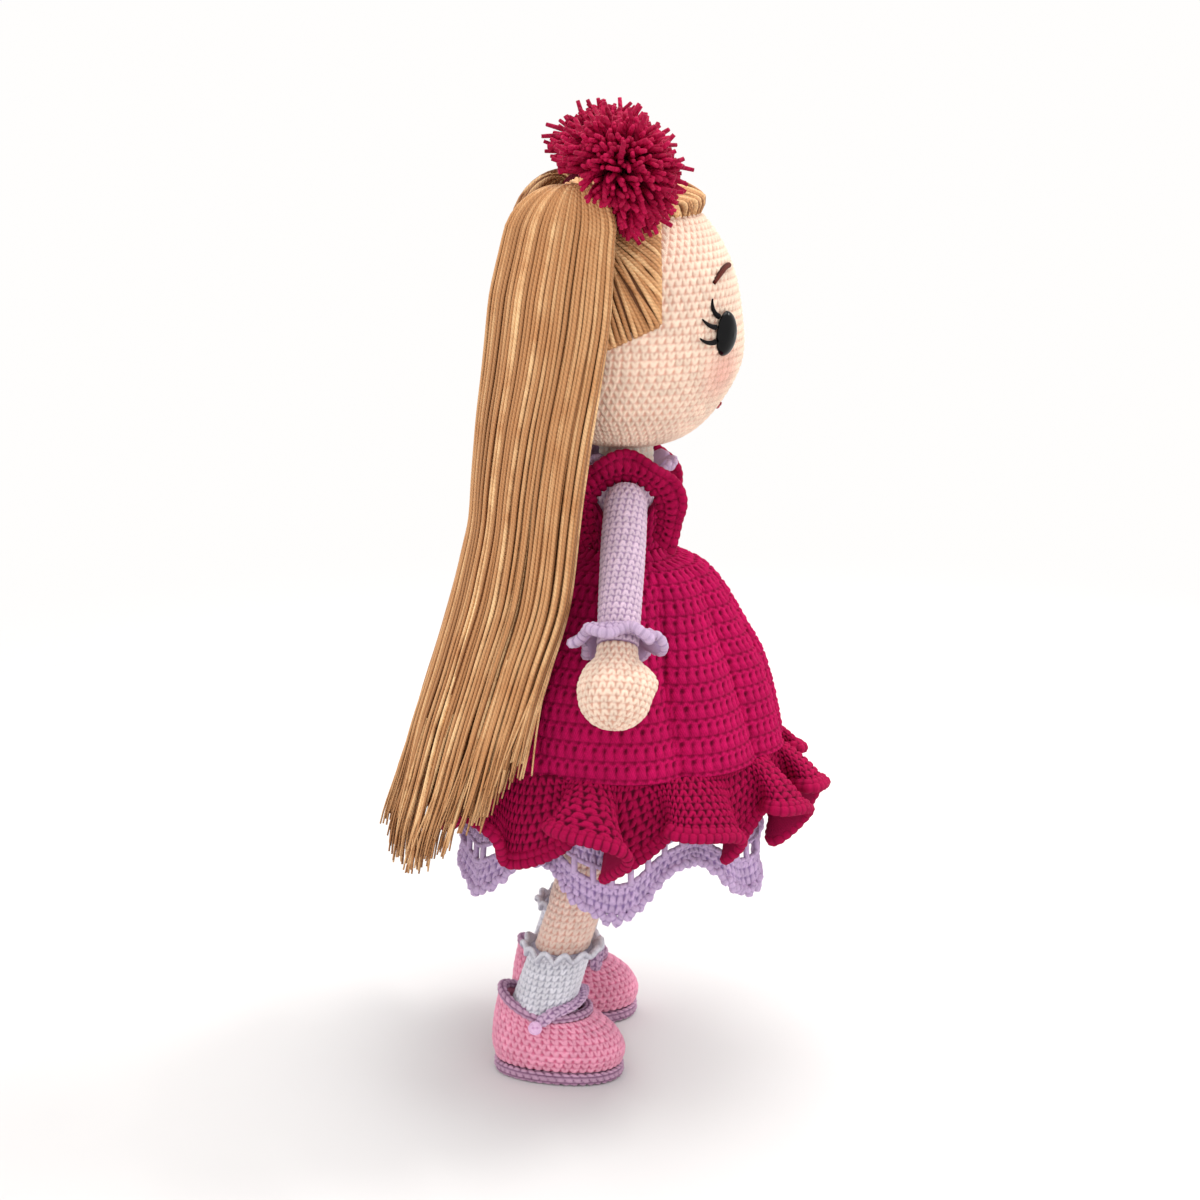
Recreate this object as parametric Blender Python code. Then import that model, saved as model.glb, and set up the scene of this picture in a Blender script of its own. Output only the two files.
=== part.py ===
# Crocheted doll with two long yarn ponytails, a flounced dress, a lace petticoat and strap shoes.
# Metres, +Z up. The face looks along -Y, the doll's left is +X, and the soles stand at z = 0.
# Rings of points run round each piece, and lofts between them make the closed solids.
import math

import bmesh
import bpy
from mathutils import Matrix, Vector

for old in list(bpy.data.objects):
    bpy.data.objects.remove(old, do_unlink=True)

# Clearances and the thickness of the crocheted fabric
CLEARANCE = 0.0003
SWING_GAP = 0.0006
KNIT_WALL = 0.0022
CLOTH_WALL = 0.0026
LACE_WALL = 0.0018
OVERRUN = 0.050

# Shoe and foot
SOLE_THICKNESS = 0.0055
SHOE_LENGTH = 0.0535
BALL_HALF_WIDTH = 0.0165
HEEL_HALF_WIDTH = 0.0138
SHOE_BULGE = 0.0015
RIM_HEIGHT = 0.0275
HEEL_RISE = 0.0080
OPENING_LENGTH = 0.039
OPENING_HALF_WIDTH = 0.0135
RIM_RADIUS = 0.0016
INSOLE_THICKNESS = 0.0012
STRAP_WIDTH = 0.0046
STRAP_THICKNESS = 0.0020
BUTTON_RADIUS = 0.0028
BUTTON_THICKNESS = 0.0016
BUTTON_HOLE_RADIUS = 0.00045
BUTTON_HOLE_SPACING = 0.0020
TOE_OUT = math.radians(8)

# Legs and socks
HIP_X = 0.0150
FOOT_X = 0.0275
HIP_Y = -0.0085
HEEL_Y = 0.0479
LEFT_FOOT_LEAD = 0.0065
ANKLE_Y = 0.0300
ANKLE_RISE = 0.0165
LEG_DROP = 0.1182
HIP_BALL_RADIUS = 0.0125
SEAT_GAP = 0.00045
LEG_RADIUS = 0.0112
SOCK_RADIUS = 0.0128
SOCK_TOP_RISE = 0.0320
FOOT_HALF_WIDTH = 0.0118
FRILL_DEPTH = 0.0040
FRILL_HEIGHT = 0.0042
FRILL_POINTS = 9
LEG_FORWARD = 40
LEG_BACK = 20
LEG_STEPS = 5

# Body and neck
HIP_TO_WAIST = 0.0820
WAIST_TO_SHOULDER = 0.0215
SHOULDER_TO_NECK = 0.0075
NECK_SHOWING = 0.0125
NECK_INSERT = 0.0060
NECK_RADIUS = 0.0108
NECK_Y = -0.0070
WAIST_Y = -0.0060
WAIST_HALF_WIDTH = 0.0165
WAIST_HALF_DEPTH = 0.0140
HIP_HALF_WIDTH = 0.0270
HIP_HALF_DEPTH = 0.0190
SHOULDER_HALF_WIDTH = 0.0165
SHOULDER_HALF_DEPTH = 0.0130
DOWEL_RADIUS = 0.0035
DOWEL_LENGTH = 0.0750
COLLAR_DEPTH = 0.0065
COLLAR_HEIGHT = 0.0050
COLLAR_LOBES = 12

# Head and face
HEAD_RADIUS = 0.0480
HEAD_HALF_HEIGHT = 0.0530
HEAD_Y = -0.0040
CHEEK_BULGE = 0.0034
CHEEK_DROP = 0.0200
CHEEK_SPREAD = 0.0170
EYE_HALF_WIDTH = 0.0057
EYE_HALF_HEIGHT = 0.0088
EYE_BULGE = 0.0040
EYE_EDGE = 0.0009
EYE_DROP = 0.0045
EYE_ANGLE = math.radians(35)
SHANK_RADIUS = 0.0016
SHANK_LENGTH = 0.0090
WASHER_RADIUS = 0.0050
WASHER_THICKNESS = 0.0014
LASH_RADIUS = 0.0006
BROW_RADIUS = 0.0008
MOUTH_RADIUS = 0.0009
BROW_RISE = 0.0190
BROW_FALL = 0.0040
MOUTH_DROP = 0.0360
MOUTH_CURVE = 0.0012
LASH_LENGTH = 0.0068

# Hair
HAIR_DEPTH = 0.0036
FRINGE_DEPTH = 0.0066
HAIRLINE_Y = -0.0190
HAIRLINE_RISE = 0.0400
SIDE_HAIR_RISE = 0.0010
NAPE_SLOPE = math.radians(24)
TIE_ANGLE = math.radians(20)
TIE_TILT = math.radians(47)
ROOT_RADIUS = 0.0056
TIE_RADIUS = 0.0062
TIE_TUBE = 0.0014
TAIL_ARCH = 0.0230
TAIL_THICKNESS = 0.0095
TAIL_LENGTH = 0.2555
POMPOM_RADIUS = 0.0245
POMPOM_LUMP = 0.0016
POMPOM_X = 0.0420
POMPOM_Y = -0.0030
POMPOM_RISE = 0.0600
ARCH_FRONT = -0.0017
FALL_FRONT = -0.0053
ARCH_ROOM = 0.0147

# Arms
SHOULDER_X = 0.0262
SHOULDER_Y = -0.0065
ARM_LENGTH = 0.0590
ARM_RADIUS = 0.0084
WRIST_RADIUS = 0.0078
HAND_LENGTH = 0.0340
HAND_HALF_WIDTH = 0.0143
HAND_HALF_THICKNESS = 0.0108
THUMB_RADIUS = 0.0052
ARM_SPLAY = math.radians(34.5)
ARM_TILT = math.radians(4)
CUFF_DEPTH = 0.0072
CUFF_HEIGHT = 0.0085
CUFF_LOBES = 7
SHOULDER_THREAD_RADIUS = 0.0008

# Dress and petticoat
BODICE_WALL = 0.0024
BODICE_RISE = 0.0200
SKIRT_LENGTH = 0.0840
SKIRT_HALF_WIDTH = 0.0620
SKIRT_HALF_DEPTH = 0.0715
HEM_Y = -0.0010
SKIRT_FOLDS = 9
SKIRT_FOLD_DEPTH = 0.0018
FLOUNCE_LENGTH = 0.0280
FLOUNCE_FLARE = 0.0125
FLOUNCE_WAVES = 13
FLOUNCE_WAVE_DEPTH = 0.0046
FLOUNCE_DROOP = 0.0030
PETTICOAT_LENGTH = 0.1320
PETTICOAT_HALF_WIDTH = 0.0590
PETTICOAT_HALF_DEPTH = 0.0640
PETTICOAT_SCALLOPS = 6
SCALLOP_DEPTH = 0.0022
SCALLOP_DROP = 0.0105
ARMHOLE_RADIUS = 0.0118
STRAP_FRILL_WIDTH = 0.0102
STRAP_FRILL_WALL = 0.0026
STRAP_FRILL_STAND = 0.0045
STRAP_FRILL_DROP = 0.0060

# Heights that the lengths above add up to
SOLE_TOP = SOLE_THICKNESS
INSOLE_BOTTOM = SOLE_TOP + CLEARANCE
FOOT_BOTTOM = INSOLE_BOTTOM + INSOLE_THICKNESS + CLEARANCE
ANKLE_Z = FOOT_BOTTOM + ANKLE_RISE
HIP_Z = ANKLE_Z + LEG_DROP
WAIST_Z = HIP_Z + HIP_TO_WAIST
SHOULDER_Z = WAIST_Z + WAIST_TO_SHOULDER
NECK_Z = SHOULDER_Z + SHOULDER_TO_NECK
HEAD_BOTTOM = NECK_Z + NECK_SHOWING
HEAD_Z = HEAD_BOTTOM + HEAD_HALF_HEIGHT
SKIRT_HEM_Z = WAIST_Z - SKIRT_LENGTH
CHIN_POWER = 0.75

SIDES = {"right": -1, "left": 1}


# Materials, each with its photographed colour


def make_material(name, colour, roughness, metallic=0.0):
    surface = bpy.data.materials.new(name)
    surface.use_nodes = True
    shader = surface.node_tree.nodes["Principled BSDF"]
    shader.inputs["Base Color"].default_value = (*colour, 1.0)
    shader.inputs["Roughness"].default_value = roughness
    shader.inputs["Metallic"].default_value = metallic
    surface.diffuse_color = (*colour, 1.0)
    return surface


SKIN = make_material("skin_yarn", (0.90, 0.62, 0.47), 0.9)
LILAC = make_material("lilac_yarn", (0.60, 0.42, 0.64), 0.9)
MAGENTA = make_material("magenta_yarn", (0.40, 0.010, 0.080), 0.9)
HAIR = make_material("hair_yarn", (0.42, 0.20, 0.09), 0.8)
WHITE = make_material("sock_yarn", (0.72, 0.74, 0.80), 0.9)
PINK = make_material("shoe_yarn", (0.84, 0.20, 0.30), 0.9)
BLACK = make_material("eye_plastic", (0.005, 0.005, 0.006), 0.1)
WASHER = make_material("washer_plastic", (0.70, 0.70, 0.68), 0.4)
BLACK_THREAD = make_material("lash_thread", (0.01, 0.01, 0.01), 0.8)
BROWN_THREAD = make_material("brow_thread", (0.13, 0.03, 0.02), 0.8)
RED_THREAD = make_material("mouth_thread", (0.45, 0.02, 0.04), 0.8)
BUTTON = make_material("button_plastic", (0.66, 0.42, 0.66), 0.3)
STUFFING = make_material("fibre_stuffing", (0.85, 0.85, 0.83), 1.0)
WOOD = make_material("dowel_wood", (0.62, 0.42, 0.22), 0.7)
CARD = make_material("insole_board", (0.45, 0.38, 0.30), 0.9)
POMPOM = make_material("pompom_yarn", (0.28, 0.004, 0.040), 0.95)


# Building blocks


def lathe_ring(centre, half_x, half_y, count, depth=0.0, waves=0, phase=0.0, drop=0.0):
    # An oval ring seen from above, counter-clockwise from the front, with radial waves and a drooping edge.
    points = []
    for step in range(count):
        turn = 2 * math.pi * step / count
        wave = math.cos(waves * turn + phase)
        x = half_x * math.sin(turn)
        y = -half_y * math.cos(turn)
        push = 1 + depth * wave / math.hypot(x, y)
        points.append(Vector((centre[0] + x * push, centre[1] + y * push, centre[2] - drop * wave)))
    return points


def loft_mesh(rings, wrap=False):
    # Quads between neighbouring rings, and flat ends unless the last ring meets the first.
    mesh = bmesh.new()
    loops = [[mesh.verts.new(point) for point in ring] for ring in rings]
    count = len(loops[0])
    pairs = list(zip(loops, loops[1:]))
    if wrap:
        pairs.append((loops[-1], loops[0]))
    for lower, upper in pairs:
        for step in range(count):
            following = (step + 1) % count
            mesh.faces.new((lower[step], lower[following], upper[following], upper[step]))
    if not wrap:
        mesh.faces.new(list(reversed(loops[0])))
        mesh.faces.new(loops[-1])
    return mesh


def finish(name, mesh, surface, pivot=(0, 0, 0)):
    # The object's origin goes to its pivot, and the mesh keeps its place in the world.
    origin = Vector(pivot)
    bmesh.ops.translate(mesh, verts=mesh.verts, vec=-origin)
    bmesh.ops.recalc_face_normals(mesh, faces=mesh.faces)
    data = bpy.data.meshes.new(name)
    mesh.to_mesh(data)
    mesh.free()
    data.materials.append(surface)
    data.shade_smooth()
    data.set_sharp_from_angle(angle=math.radians(40))
    piece = bpy.data.objects.new(name, data)
    piece.location = origin
    bpy.context.collection.objects.link(piece)
    return piece


def loft(name, rings, surface, wrap=False, pivot=(0, 0, 0)):
    return finish(name, loft_mesh(rings, wrap), surface, pivot)


def make_cutter(name, mesh):
    guide = finish(name, mesh, STUFFING)
    guide.hide_render = True
    guide.display_type = "WIRE"
    return guide


def cut(piece, cutters, operation="DIFFERENCE"):
    for guide in cutters:
        step = piece.modifiers.new(operation.lower() + "_" + guide.name, "BOOLEAN")
        step.operation = operation
        step.object = guide


def frame_along(direction, hint):
    # Two unit vectors square to a direction, the first as near to the hint as it can be.
    forward = direction.normalized()
    side = (hint - forward * hint.dot(forward)).normalized()
    return side, forward.cross(side)


def tube_mesh(points, half_a, half_b, hint, sides, swell=None):
    # A tube of oval section along points; swell gives each point's share of the section.
    rings = []
    for index, point in enumerate(points):
        before = points[max(index - 1, 0)]
        after = points[min(index + 1, len(points) - 1)]
        first, second = frame_along(after - before, hint)
        share = 1.0 if swell is None else swell[index]
        ring = []
        for step in range(sides):
            turn = 2 * math.pi * step / sides
            ring.append(point + first * half_a * share * math.cos(turn) + second * half_b * share * math.sin(turn))
        rings.append(ring)
    return loft_mesh(rings)


def rod_mesh(start, end, radius, sides):
    direction = end - start
    hint = Vector((0, 0, 1)) if abs(direction.normalized().z) < 0.9 else Vector((0, 1, 0))
    return tube_mesh([start, end], radius, radius, hint, sides)


def join(first, second):
    # Copies the second mesh's faces into the first, as separate solids of one node.
    data = bpy.data.meshes.new("joined")
    second.to_mesh(data)
    second.free()
    first.from_mesh(data)
    bpy.data.meshes.remove(data)
    return first


def mix(low, high, share):
    return low + (high - low) * share


def read_table(table, share, column):
    # A straight-line reading of a table whose first column is the place.
    for low, high in zip(table, table[1:]):
        if share <= high[0]:
            return mix(low[column], high[column], (share - low[0]) / (high[0] - low[0]))
    return table[-1][column]


# Head


def head_radius(turn, grow):
    power = CHIN_POWER if turn < math.pi / 2 else 1.0
    return (HEAD_RADIUS + grow) * math.sin(turn) ** power


def head_opening(radius, grow):
    return math.asin((radius / (HEAD_RADIUS + grow)) ** (1 / CHIN_POWER))


def head_point(turn, around, grow, opening=0.0):
    # turn runs from the chin's pole up to the crown, around from the face towards the doll's left.
    radius = head_radius(turn, grow)
    z = HEAD_Z - (HEAD_HALF_HEIGHT + grow) * math.cos(turn)
    lean = max(math.cos(turn), 0.0) / math.cos(opening)
    centre_y = mix(HEAD_Y, NECK_Y, lean ** 2)
    facing = max(math.cos(around), 0.0) ** 2
    height = (z - HEAD_Z + CHEEK_DROP) / CHEEK_SPREAD
    bulge = CHEEK_BULGE * facing * math.exp(-height * height) * math.sin(turn) ** 2
    return Vector((radius * math.sin(around), centre_y - radius * math.cos(around) - bulge, z))


def head_ring(turn, grow, count, opening=0.0):
    return [head_point(turn, 2 * math.pi * step / count, grow, opening) for step in range(count)]


HEAD_SIDES = 24
HEAD_ROWS = 9
CROWN_TURN = math.radians(172)


def head_rings(grow, opening_radius, rows=HEAD_ROWS, count=HEAD_SIDES):
    start = head_opening(opening_radius, grow)
    return [head_ring(mix(start, CROWN_TURN, row / rows), grow, count, start) for row in range(rows + 1)]


def face_height(rise):
    # The turn whose height on the head's skin is the given rise over the head's middle.
    return math.acos(-rise / HEAD_HALF_HEIGHT)


def on_face(angle, rise, lift, side):
    return head_point(face_height(rise), side * angle, lift)


EYE_RISE = -EYE_DROP
EYE_ROWS_SHARES = ((0.0, 0.98), (0.5, 0.88), (0.84, 0.54), (0.97, 0.22))


def eye_frame(side):
    centre = on_face(EYE_ANGLE, EYE_RISE, 0.0, side)
    outward = (on_face(EYE_ANGLE, EYE_RISE, EYE_BULGE, side) - centre).normalized()
    across, up = frame_along(outward, Vector((0, 0, 1)))
    return centre, outward, across, up


def eye_ring(side, height, half_up, half_wide, count=14):
    centre, outward, upward, sideways = eye_frame(side)
    ring = []
    for step in range(count):
        turn = 2 * math.pi * step / count
        ring.append(centre + outward * height + upward * half_up * math.cos(turn)
                    + sideways * half_wide * math.sin(turn))
    return ring


def make_head():
    skin_outer = head_rings(0.0, NECK_RADIUS + CLEARANCE)
    skin_inner = head_rings(-KNIT_WALL, NECK_RADIUS + CLEARANCE)
    skin = loft("head", list(reversed(skin_inner)) + skin_outer, SKIN)
    filling = loft("head_stuffing", head_rings(-KNIT_WALL - CLEARANCE * 4, NECK_RADIUS, 7, 16), STUFFING)
    dowel_bore = make_cutter("dowel_bore", rod_mesh(
        Vector((0, NECK_Y, WAIST_Z)), Vector((0, NECK_Y, DOWEL_TOP + CLEARANCE)), DOWEL_RADIUS + CLEARANCE, 12))
    neck_bore = make_cutter("neck_bore", rod_mesh(
        Vector((0, NECK_Y, NECK_Z)), Vector((0, NECK_Y, NECK_TOP + CLEARANCE)), NECK_RADIUS + CLEARANCE, 24))
    cut(filling, [dowel_bore, neck_bore])
    for label, side in SIDES.items():
        centre, outward, upward, sideways = eye_frame(side)
        seat = EYE_EDGE
        rings = [eye_ring(side, -SHANK_LENGTH, SHANK_RADIUS, SHANK_RADIUS),
                 eye_ring(side, seat, SHANK_RADIUS, SHANK_RADIUS),
                 eye_ring(side, seat, EYE_HALF_HEIGHT, EYE_HALF_WIDTH)]
        for rise, width in EYE_ROWS_SHARES:
            rings.append(eye_ring(side, seat + EYE_EDGE + EYE_BULGE * rise, EYE_HALF_HEIGHT * width,
                                  EYE_HALF_WIDTH * width))
        eye = loft("eye_" + label, rings, BLACK)
        eye.data.set_sharp_from_angle(angle=math.radians(60))
        washer_top = -KNIT_WALL - EYE_EDGE * 2
        washer_low = washer_top - WASHER_THICKNESS
        hole = SHANK_RADIUS + CLEARANCE / 2
        loft("eye_washer_" + label, [eye_ring(side, washer_low, WASHER_RADIUS, WASHER_RADIUS),
                                     eye_ring(side, washer_top, WASHER_RADIUS, WASHER_RADIUS),
                                     eye_ring(side, washer_top, hole, hole),
                                     eye_ring(side, washer_low, hole, hole)], WASHER, wrap=True)
        shank_hole = make_cutter("shank_hole_" + label, rod_mesh(
            centre - outward * SHANK_LENGTH, centre + outward * EYE_BULGE, SHANK_RADIUS + CLEARANCE, 10))
        cut(skin, [shank_hole])
        pocket_depth = SHANK_LENGTH + CLEARANCE * 2
        pocket = WASHER_RADIUS + CLEARANCE
        washer_pocket = make_cutter("washer_pocket_" + label, rod_mesh(
            centre - outward * pocket_depth, centre, pocket, 14))
        cut(filling, [washer_pocket])


# Turn round the eye's edge, and the tip's reach and rise as shares of a lash's length
LASH_SHARES = ((-0.04, 1.0, 0.05), (0.15, 1.0, 0.45), (0.34, 0.72, 0.95))


def lash_mesh(side):
    # Three lashes on one stitch along the eye's edge, drawn flat as (angle, rise) and then laid on the face.
    mesh = bmesh.new()
    gap = CLEARANCE * 1.5
    flat = []

    def edge_spot(turn_share, grow):
        turn = turn_share * math.pi
        across = (EYE_HALF_WIDTH + gap + grow) * math.cos(turn) / HEAD_RADIUS
        return EYE_ANGLE + across, EYE_RISE + (EYE_HALF_HEIGHT + gap + grow) * math.sin(turn)

    def vertex(spot):
        return mesh.verts.new((spot[0], spot[1], 0))

    half_turn = LASH_RADIUS / EYE_HALF_HEIGHT / math.pi * 1.2
    inner = []
    outer = []
    for turn_share, reach, rise in LASH_SHARES:
        for way in (-half_turn, half_turn):
            inner.append(vertex(edge_spot(turn_share + way, 0.0)))
            outer.append(vertex(edge_spot(turn_share + way, LASH_RADIUS)))
        low, high = outer[-2], outer[-1]
        tip_angle = low.co.x + LASH_LENGTH * reach / HEAD_RADIUS
        tip_rise = low.co.y + LASH_LENGTH * rise
        half = LASH_RADIUS * 0.9
        middle_low = vertex((mix(low.co.x, tip_angle, 0.5), mix(low.co.y, tip_rise, 0.4) - half * 0.3))
        middle_high = vertex((mix(high.co.x, tip_angle, 0.5), mix(high.co.y, tip_rise, 0.4) + half * 0.3))
        tip_low = vertex((tip_angle, tip_rise - half * 0.4))
        tip_high = vertex((tip_angle - half / HEAD_RADIUS, tip_rise + half * 0.4))
        flat.append(mesh.faces.new((low, middle_low, middle_high, high)))
        flat.append(mesh.faces.new((middle_low, tip_low, tip_high, middle_high)))
    for step in range(len(inner) - 1):
        flat.append(mesh.faces.new((inner[step], outer[step], outer[step + 1], inner[step + 1])))
    raised = bmesh.ops.extrude_face_region(mesh, geom=flat, use_keep_orig=True)
    top = {item for item in raised["geom"] if isinstance(item, bmesh.types.BMVert)}
    for point in mesh.verts:
        lift = CLEARANCE + (LASH_RADIUS * 2 if point in top else 0.0)
        point.co = on_face(point.co.x, point.co.y, lift, side)
    return mesh


def make_face():
    for label, side in SIDES.items():
        finish("eyelashes_" + label, lash_mesh(side), BLACK_THREAD)
        brow = []
        for share in (0.0, 0.25, 0.5, 0.75, 1.0):
            rise = BROW_RISE + BROW_FALL * math.sin(math.pi * share) * 0.5 - BROW_FALL * share
            brow.append(on_face(mix(BROW_INNER_ANGLE, BROW_OUTER_ANGLE, share), rise, BROW_RADIUS + CLEARANCE, side))
        finish("eyebrow_" + label, tube_mesh(brow, BROW_RADIUS, BROW_RADIUS, Vector((0, 0, 1)), 6), BROWN_THREAD)
    smile = []
    for share in (-1.0, -0.5, 0.0, 0.5, 1.0):
        smile.append(on_face(MOUTH_ANGLE * share, -MOUTH_DROP - MOUTH_CURVE * (1 - share * share),
                             MOUTH_RADIUS + CLEARANCE, 1))
    finish("mouth", tube_mesh(smile, MOUTH_RADIUS, MOUTH_RADIUS, Vector((0, 0, 1)), 6), RED_THREAD)


BROW_INNER_ANGLE = math.radians(17)
BROW_OUTER_ANGLE = math.radians(37)
MOUTH_ANGLE = math.radians(7)
NECK_TOP = HEAD_BOTTOM + NECK_INSERT
DOWEL_TOP = NECK_Z - NECK_INSERT + DOWEL_LENGTH / 2
DOWEL_LOW = DOWEL_TOP - DOWEL_LENGTH


# Hair


def box_mesh(low, high, matrix=None):
    mesh = bmesh.new()
    bmesh.ops.create_cube(mesh, size=1.0)
    size = Vector(high) - Vector(low)
    middle = (Vector(high) + Vector(low)) / 2
    place = Matrix.Translation(middle) @ Matrix.Diagonal((*size, 1.0))
    if matrix is not None:
        place = matrix @ place
    bmesh.ops.transform(mesh, matrix=place, verts=mesh.verts)
    return mesh


def tie_frame(side):
    # Where the hair is tied: a ball just clear of the combed hair, and the way out of the head.
    outward = Vector((side * math.cos(TIE_TILT) * math.cos(TIE_ANGLE), math.cos(TIE_TILT) * math.sin(TIE_ANGLE),
                      math.sin(TIE_TILT)))
    centre = Vector((0, HEAD_Y, HEAD_Z))
    reach = 1 / math.sqrt((outward.x ** 2 + outward.y ** 2) / (HEAD_RADIUS + HAIR_DEPTH) ** 2
                          + outward.z ** 2 / (HEAD_HALF_HEIGHT + HAIR_DEPTH) ** 2)
    return centre + outward * (reach + ROOT_RADIUS + CLEARANCE * 2), outward


# Place down the tail, first and last strand's angle from the back, the inner radius at the back and side, and the
# thickness, as shares of the tail's length, of a right angle, of the head's radius and of the full thickness
TAIL_SHARES = (
    (0.00, 0.430, 0.975, 1.07, 1.05, 0.78),
    (0.10, 0.390, 0.960, 1.12, 1.12, 0.95),
    (0.20, 0.340, 0.920, 1.12, 1.12, 1.00),
    (0.30, 0.250, 0.870, 1.11, 1.09, 1.00),
    (0.42, 0.175, 0.820, 1.12, 1.06, 1.00),
    (0.54, 0.150, 0.785, 1.25, 1.09, 0.97),
    (0.66, 0.140, 0.710, 1.44, 1.20, 0.92),
    (0.76, 0.140, 0.665, 1.63, 1.33, 0.86),
    (0.86, 0.150, 0.640, 1.80, 1.52, 0.80),
    (0.94, 0.180, 0.560, 1.92, 1.70, 0.70),
    (1.00, 0.250, 0.460, 1.94, 1.76, 0.55),
)
TAIL_TOP_RISE = 0.0330
TAIL_SIDES = 14


def tail_point(share, across, through, side, grow=0.0):
    # share runs down the fall, across from the first to the last strand, through from inside to outside.
    angle = mix(read_table(TAIL_SHARES, share, 1), read_table(TAIL_SHARES, share, 2), (across + 1) / 2)
    back_angle = angle * math.pi / 2
    back = read_table(TAIL_SHARES, share, 3) * HEAD_RADIUS
    flank = read_table(TAIL_SHARES, share, 4) * HEAD_RADIUS
    inner = mix(back, flank, math.sin(back_angle) ** 2)
    thickness = TAIL_THICKNESS * read_table(TAIL_SHARES, share, 5)
    radius = inner + thickness * (through + 1) / 2 + grow * through
    z = HEAD_Z + TAIL_TOP_RISE - TAIL_LENGTH * share
    return Vector((side * radius * math.sin(back_angle), HEAD_Y + radius * math.cos(back_angle), z))


def tail_section(step, count):
    # A flat oval: square-sided in the middle and rounded at both edges.
    turn = 2 * math.pi * step / count
    across = math.copysign(abs(math.cos(turn)) ** 0.7, math.cos(turn))
    through = math.copysign(abs(math.sin(turn)) ** 0.8, math.sin(turn))
    return across, through


def tail_rings(side, grow=0.0, rows=TAIL_SHARES, count=TAIL_SIDES):
    root, outward = tie_frame(side)
    back = Vector((0, 1, 0))
    sideways, second = frame_along(outward, back)
    rings = []
    for height, share in ((-1.0, 0.30), (-0.6, 0.80), (0.0, 1.0), (0.8, 0.86)):
        ring = []
        for step in range(count):
            across, through = tail_section(step, count)
            radius = (ROOT_RADIUS + grow) * share
            ring.append(root + outward * height * ROOT_RADIUS + sideways * radius * -across
                        + second * radius * through * side)
        rings.append(ring)
    lead = root + outward * TAIL_ARCH
    for turn_share in (0.25, 0.45, 0.65, 0.85):
        ring = []
        for step in range(count):
            across, through = tail_section(step, count)
            start = rings[3][step]
            fall = tail_point(0.0, across, through, side, grow)
            knee = lead + (fall - tail_point(0.0, 0.0, 0.0, side, grow)) * turn_share
            ring.append(start * (1 - turn_share) ** 2 + knee * 2 * turn_share * (1 - turn_share)
                        + fall * turn_share ** 2)
        rings.append(ring)
    for row in rows:
        rings.append([tail_point(row[0], *tail_section(step, count), side, grow) for step in range(count)])
    return rings


def pompom_mesh(centre):
    # A ball of short yarn ends, with a lumpy outline.
    mesh = bmesh.new()
    bmesh.ops.create_uvsphere(mesh, u_segments=14, v_segments=8, radius=POMPOM_RADIUS)
    for index, vertex in enumerate(mesh.verts):
        swell = POMPOM_LUMP * math.sin(index * 2.4) / POMPOM_RADIUS
        vertex.co = vertex.co * (1 + swell) + centre
    return mesh


def make_hair():
    hair_outer = make_cutter("hair_outer", loft_mesh(head_rings(HAIR_DEPTH + CLEARANCE * 2, NECK_RADIUS)))
    fringe_outer = make_cutter("fringe_outer", loft_mesh(head_rings(FRINGE_DEPTH + SWING_GAP, NECK_RADIUS)))
    scalp = make_cutter("scalp", loft_mesh(head_rings(CLEARANCE, NECK_RADIUS)))
    low = HEAD_Z - HEAD_HALF_HEIGHT - OVERRUN
    high = HEAD_Z + HEAD_HALF_HEIGHT + OVERRUN
    wide = HEAD_RADIUS + OVERRUN
    face_side = make_cutter("face_side", box_mesh((-wide, -wide - OVERRUN, low), (wide, HAIRLINE_Y, high)))
    nape = Matrix.Translation((0, HAIRLINE_Y, HEAD_Z + SIDE_HAIR_RISE)) @ Matrix.Rotation(-NAPE_SLOPE, 4, "X")
    nape_side = make_cutter("nape_side", box_mesh((-wide, -wide, -wide - wide), (wide, wide + wide, 0), nape))
    cap = loft("hair_cap", head_rings(HAIR_DEPTH, NECK_RADIUS), HAIR)
    cut(cap, [scalp, face_side, nape_side])
    fringe = loft("fringe", head_rings(FRINGE_DEPTH, NECK_RADIUS), HAIR)
    rear_side = make_cutter("rear_side", box_mesh((-wide, HAIRLINE_Y - CLEARANCE, low), (wide, wide, high)))
    brow_side = make_cutter("brow_side", box_mesh((-wide, -wide, low), (wide, wide, HEAD_Z + HAIRLINE_RISE)))
    cut(fringe, [scalp, rear_side, brow_side])
    for label, side in SIDES.items():
        root, outward = tie_frame(side)
        tail = loft("ponytail_" + label, tail_rings(side), HAIR, pivot=root)
        cut(tail, [hair_outer])
        sideways, second = frame_along(outward, Vector((0, 1, 0)))
        tie_height = ROOT_RADIUS * 0.62
        tie_rings = []
        for step in range(16):
            turn = 2 * math.pi * step / 16
            arm = sideways * math.cos(turn) + second * math.sin(turn)
            tie_rings.append([root + outward * (tie_height + TIE_TUBE * math.sin(around)) + arm
                              * (TIE_RADIUS + CLEARANCE + TIE_TUBE * (1 - math.cos(around)))
                              for around in (0, math.pi * 0.4, math.pi * 0.8, math.pi * 1.2, math.pi * 1.6)])
        tie = finish("hair_tie_" + label, loft_mesh(tie_rings, wrap=True), POMPOM, pivot=root)
        pompom_centre = Vector((side * POMPOM_X, POMPOM_Y, HEAD_Z + POMPOM_RISE))
        pompom = finish("pompom_" + label, pompom_mesh(pompom_centre), POMPOM)
        room = []
        for step, (front, top) in enumerate(((ARCH_FRONT, ARCH_ROOM), (FALL_FRONT, 0.0))):
            edges = sorted((0.0, side * (HEAD_RADIUS + OVERRUN)))
            low_corner = (edges[0], front, HEAD_Z)
            high_corner = (edges[1], front + OVERRUN, root.z + top)
            room.append(make_cutter("tail_room_%s_%d" % (label, step), box_mesh(low_corner, high_corner)))
        cut(pompom, room + [fringe_outer])


# Body and hips


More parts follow.
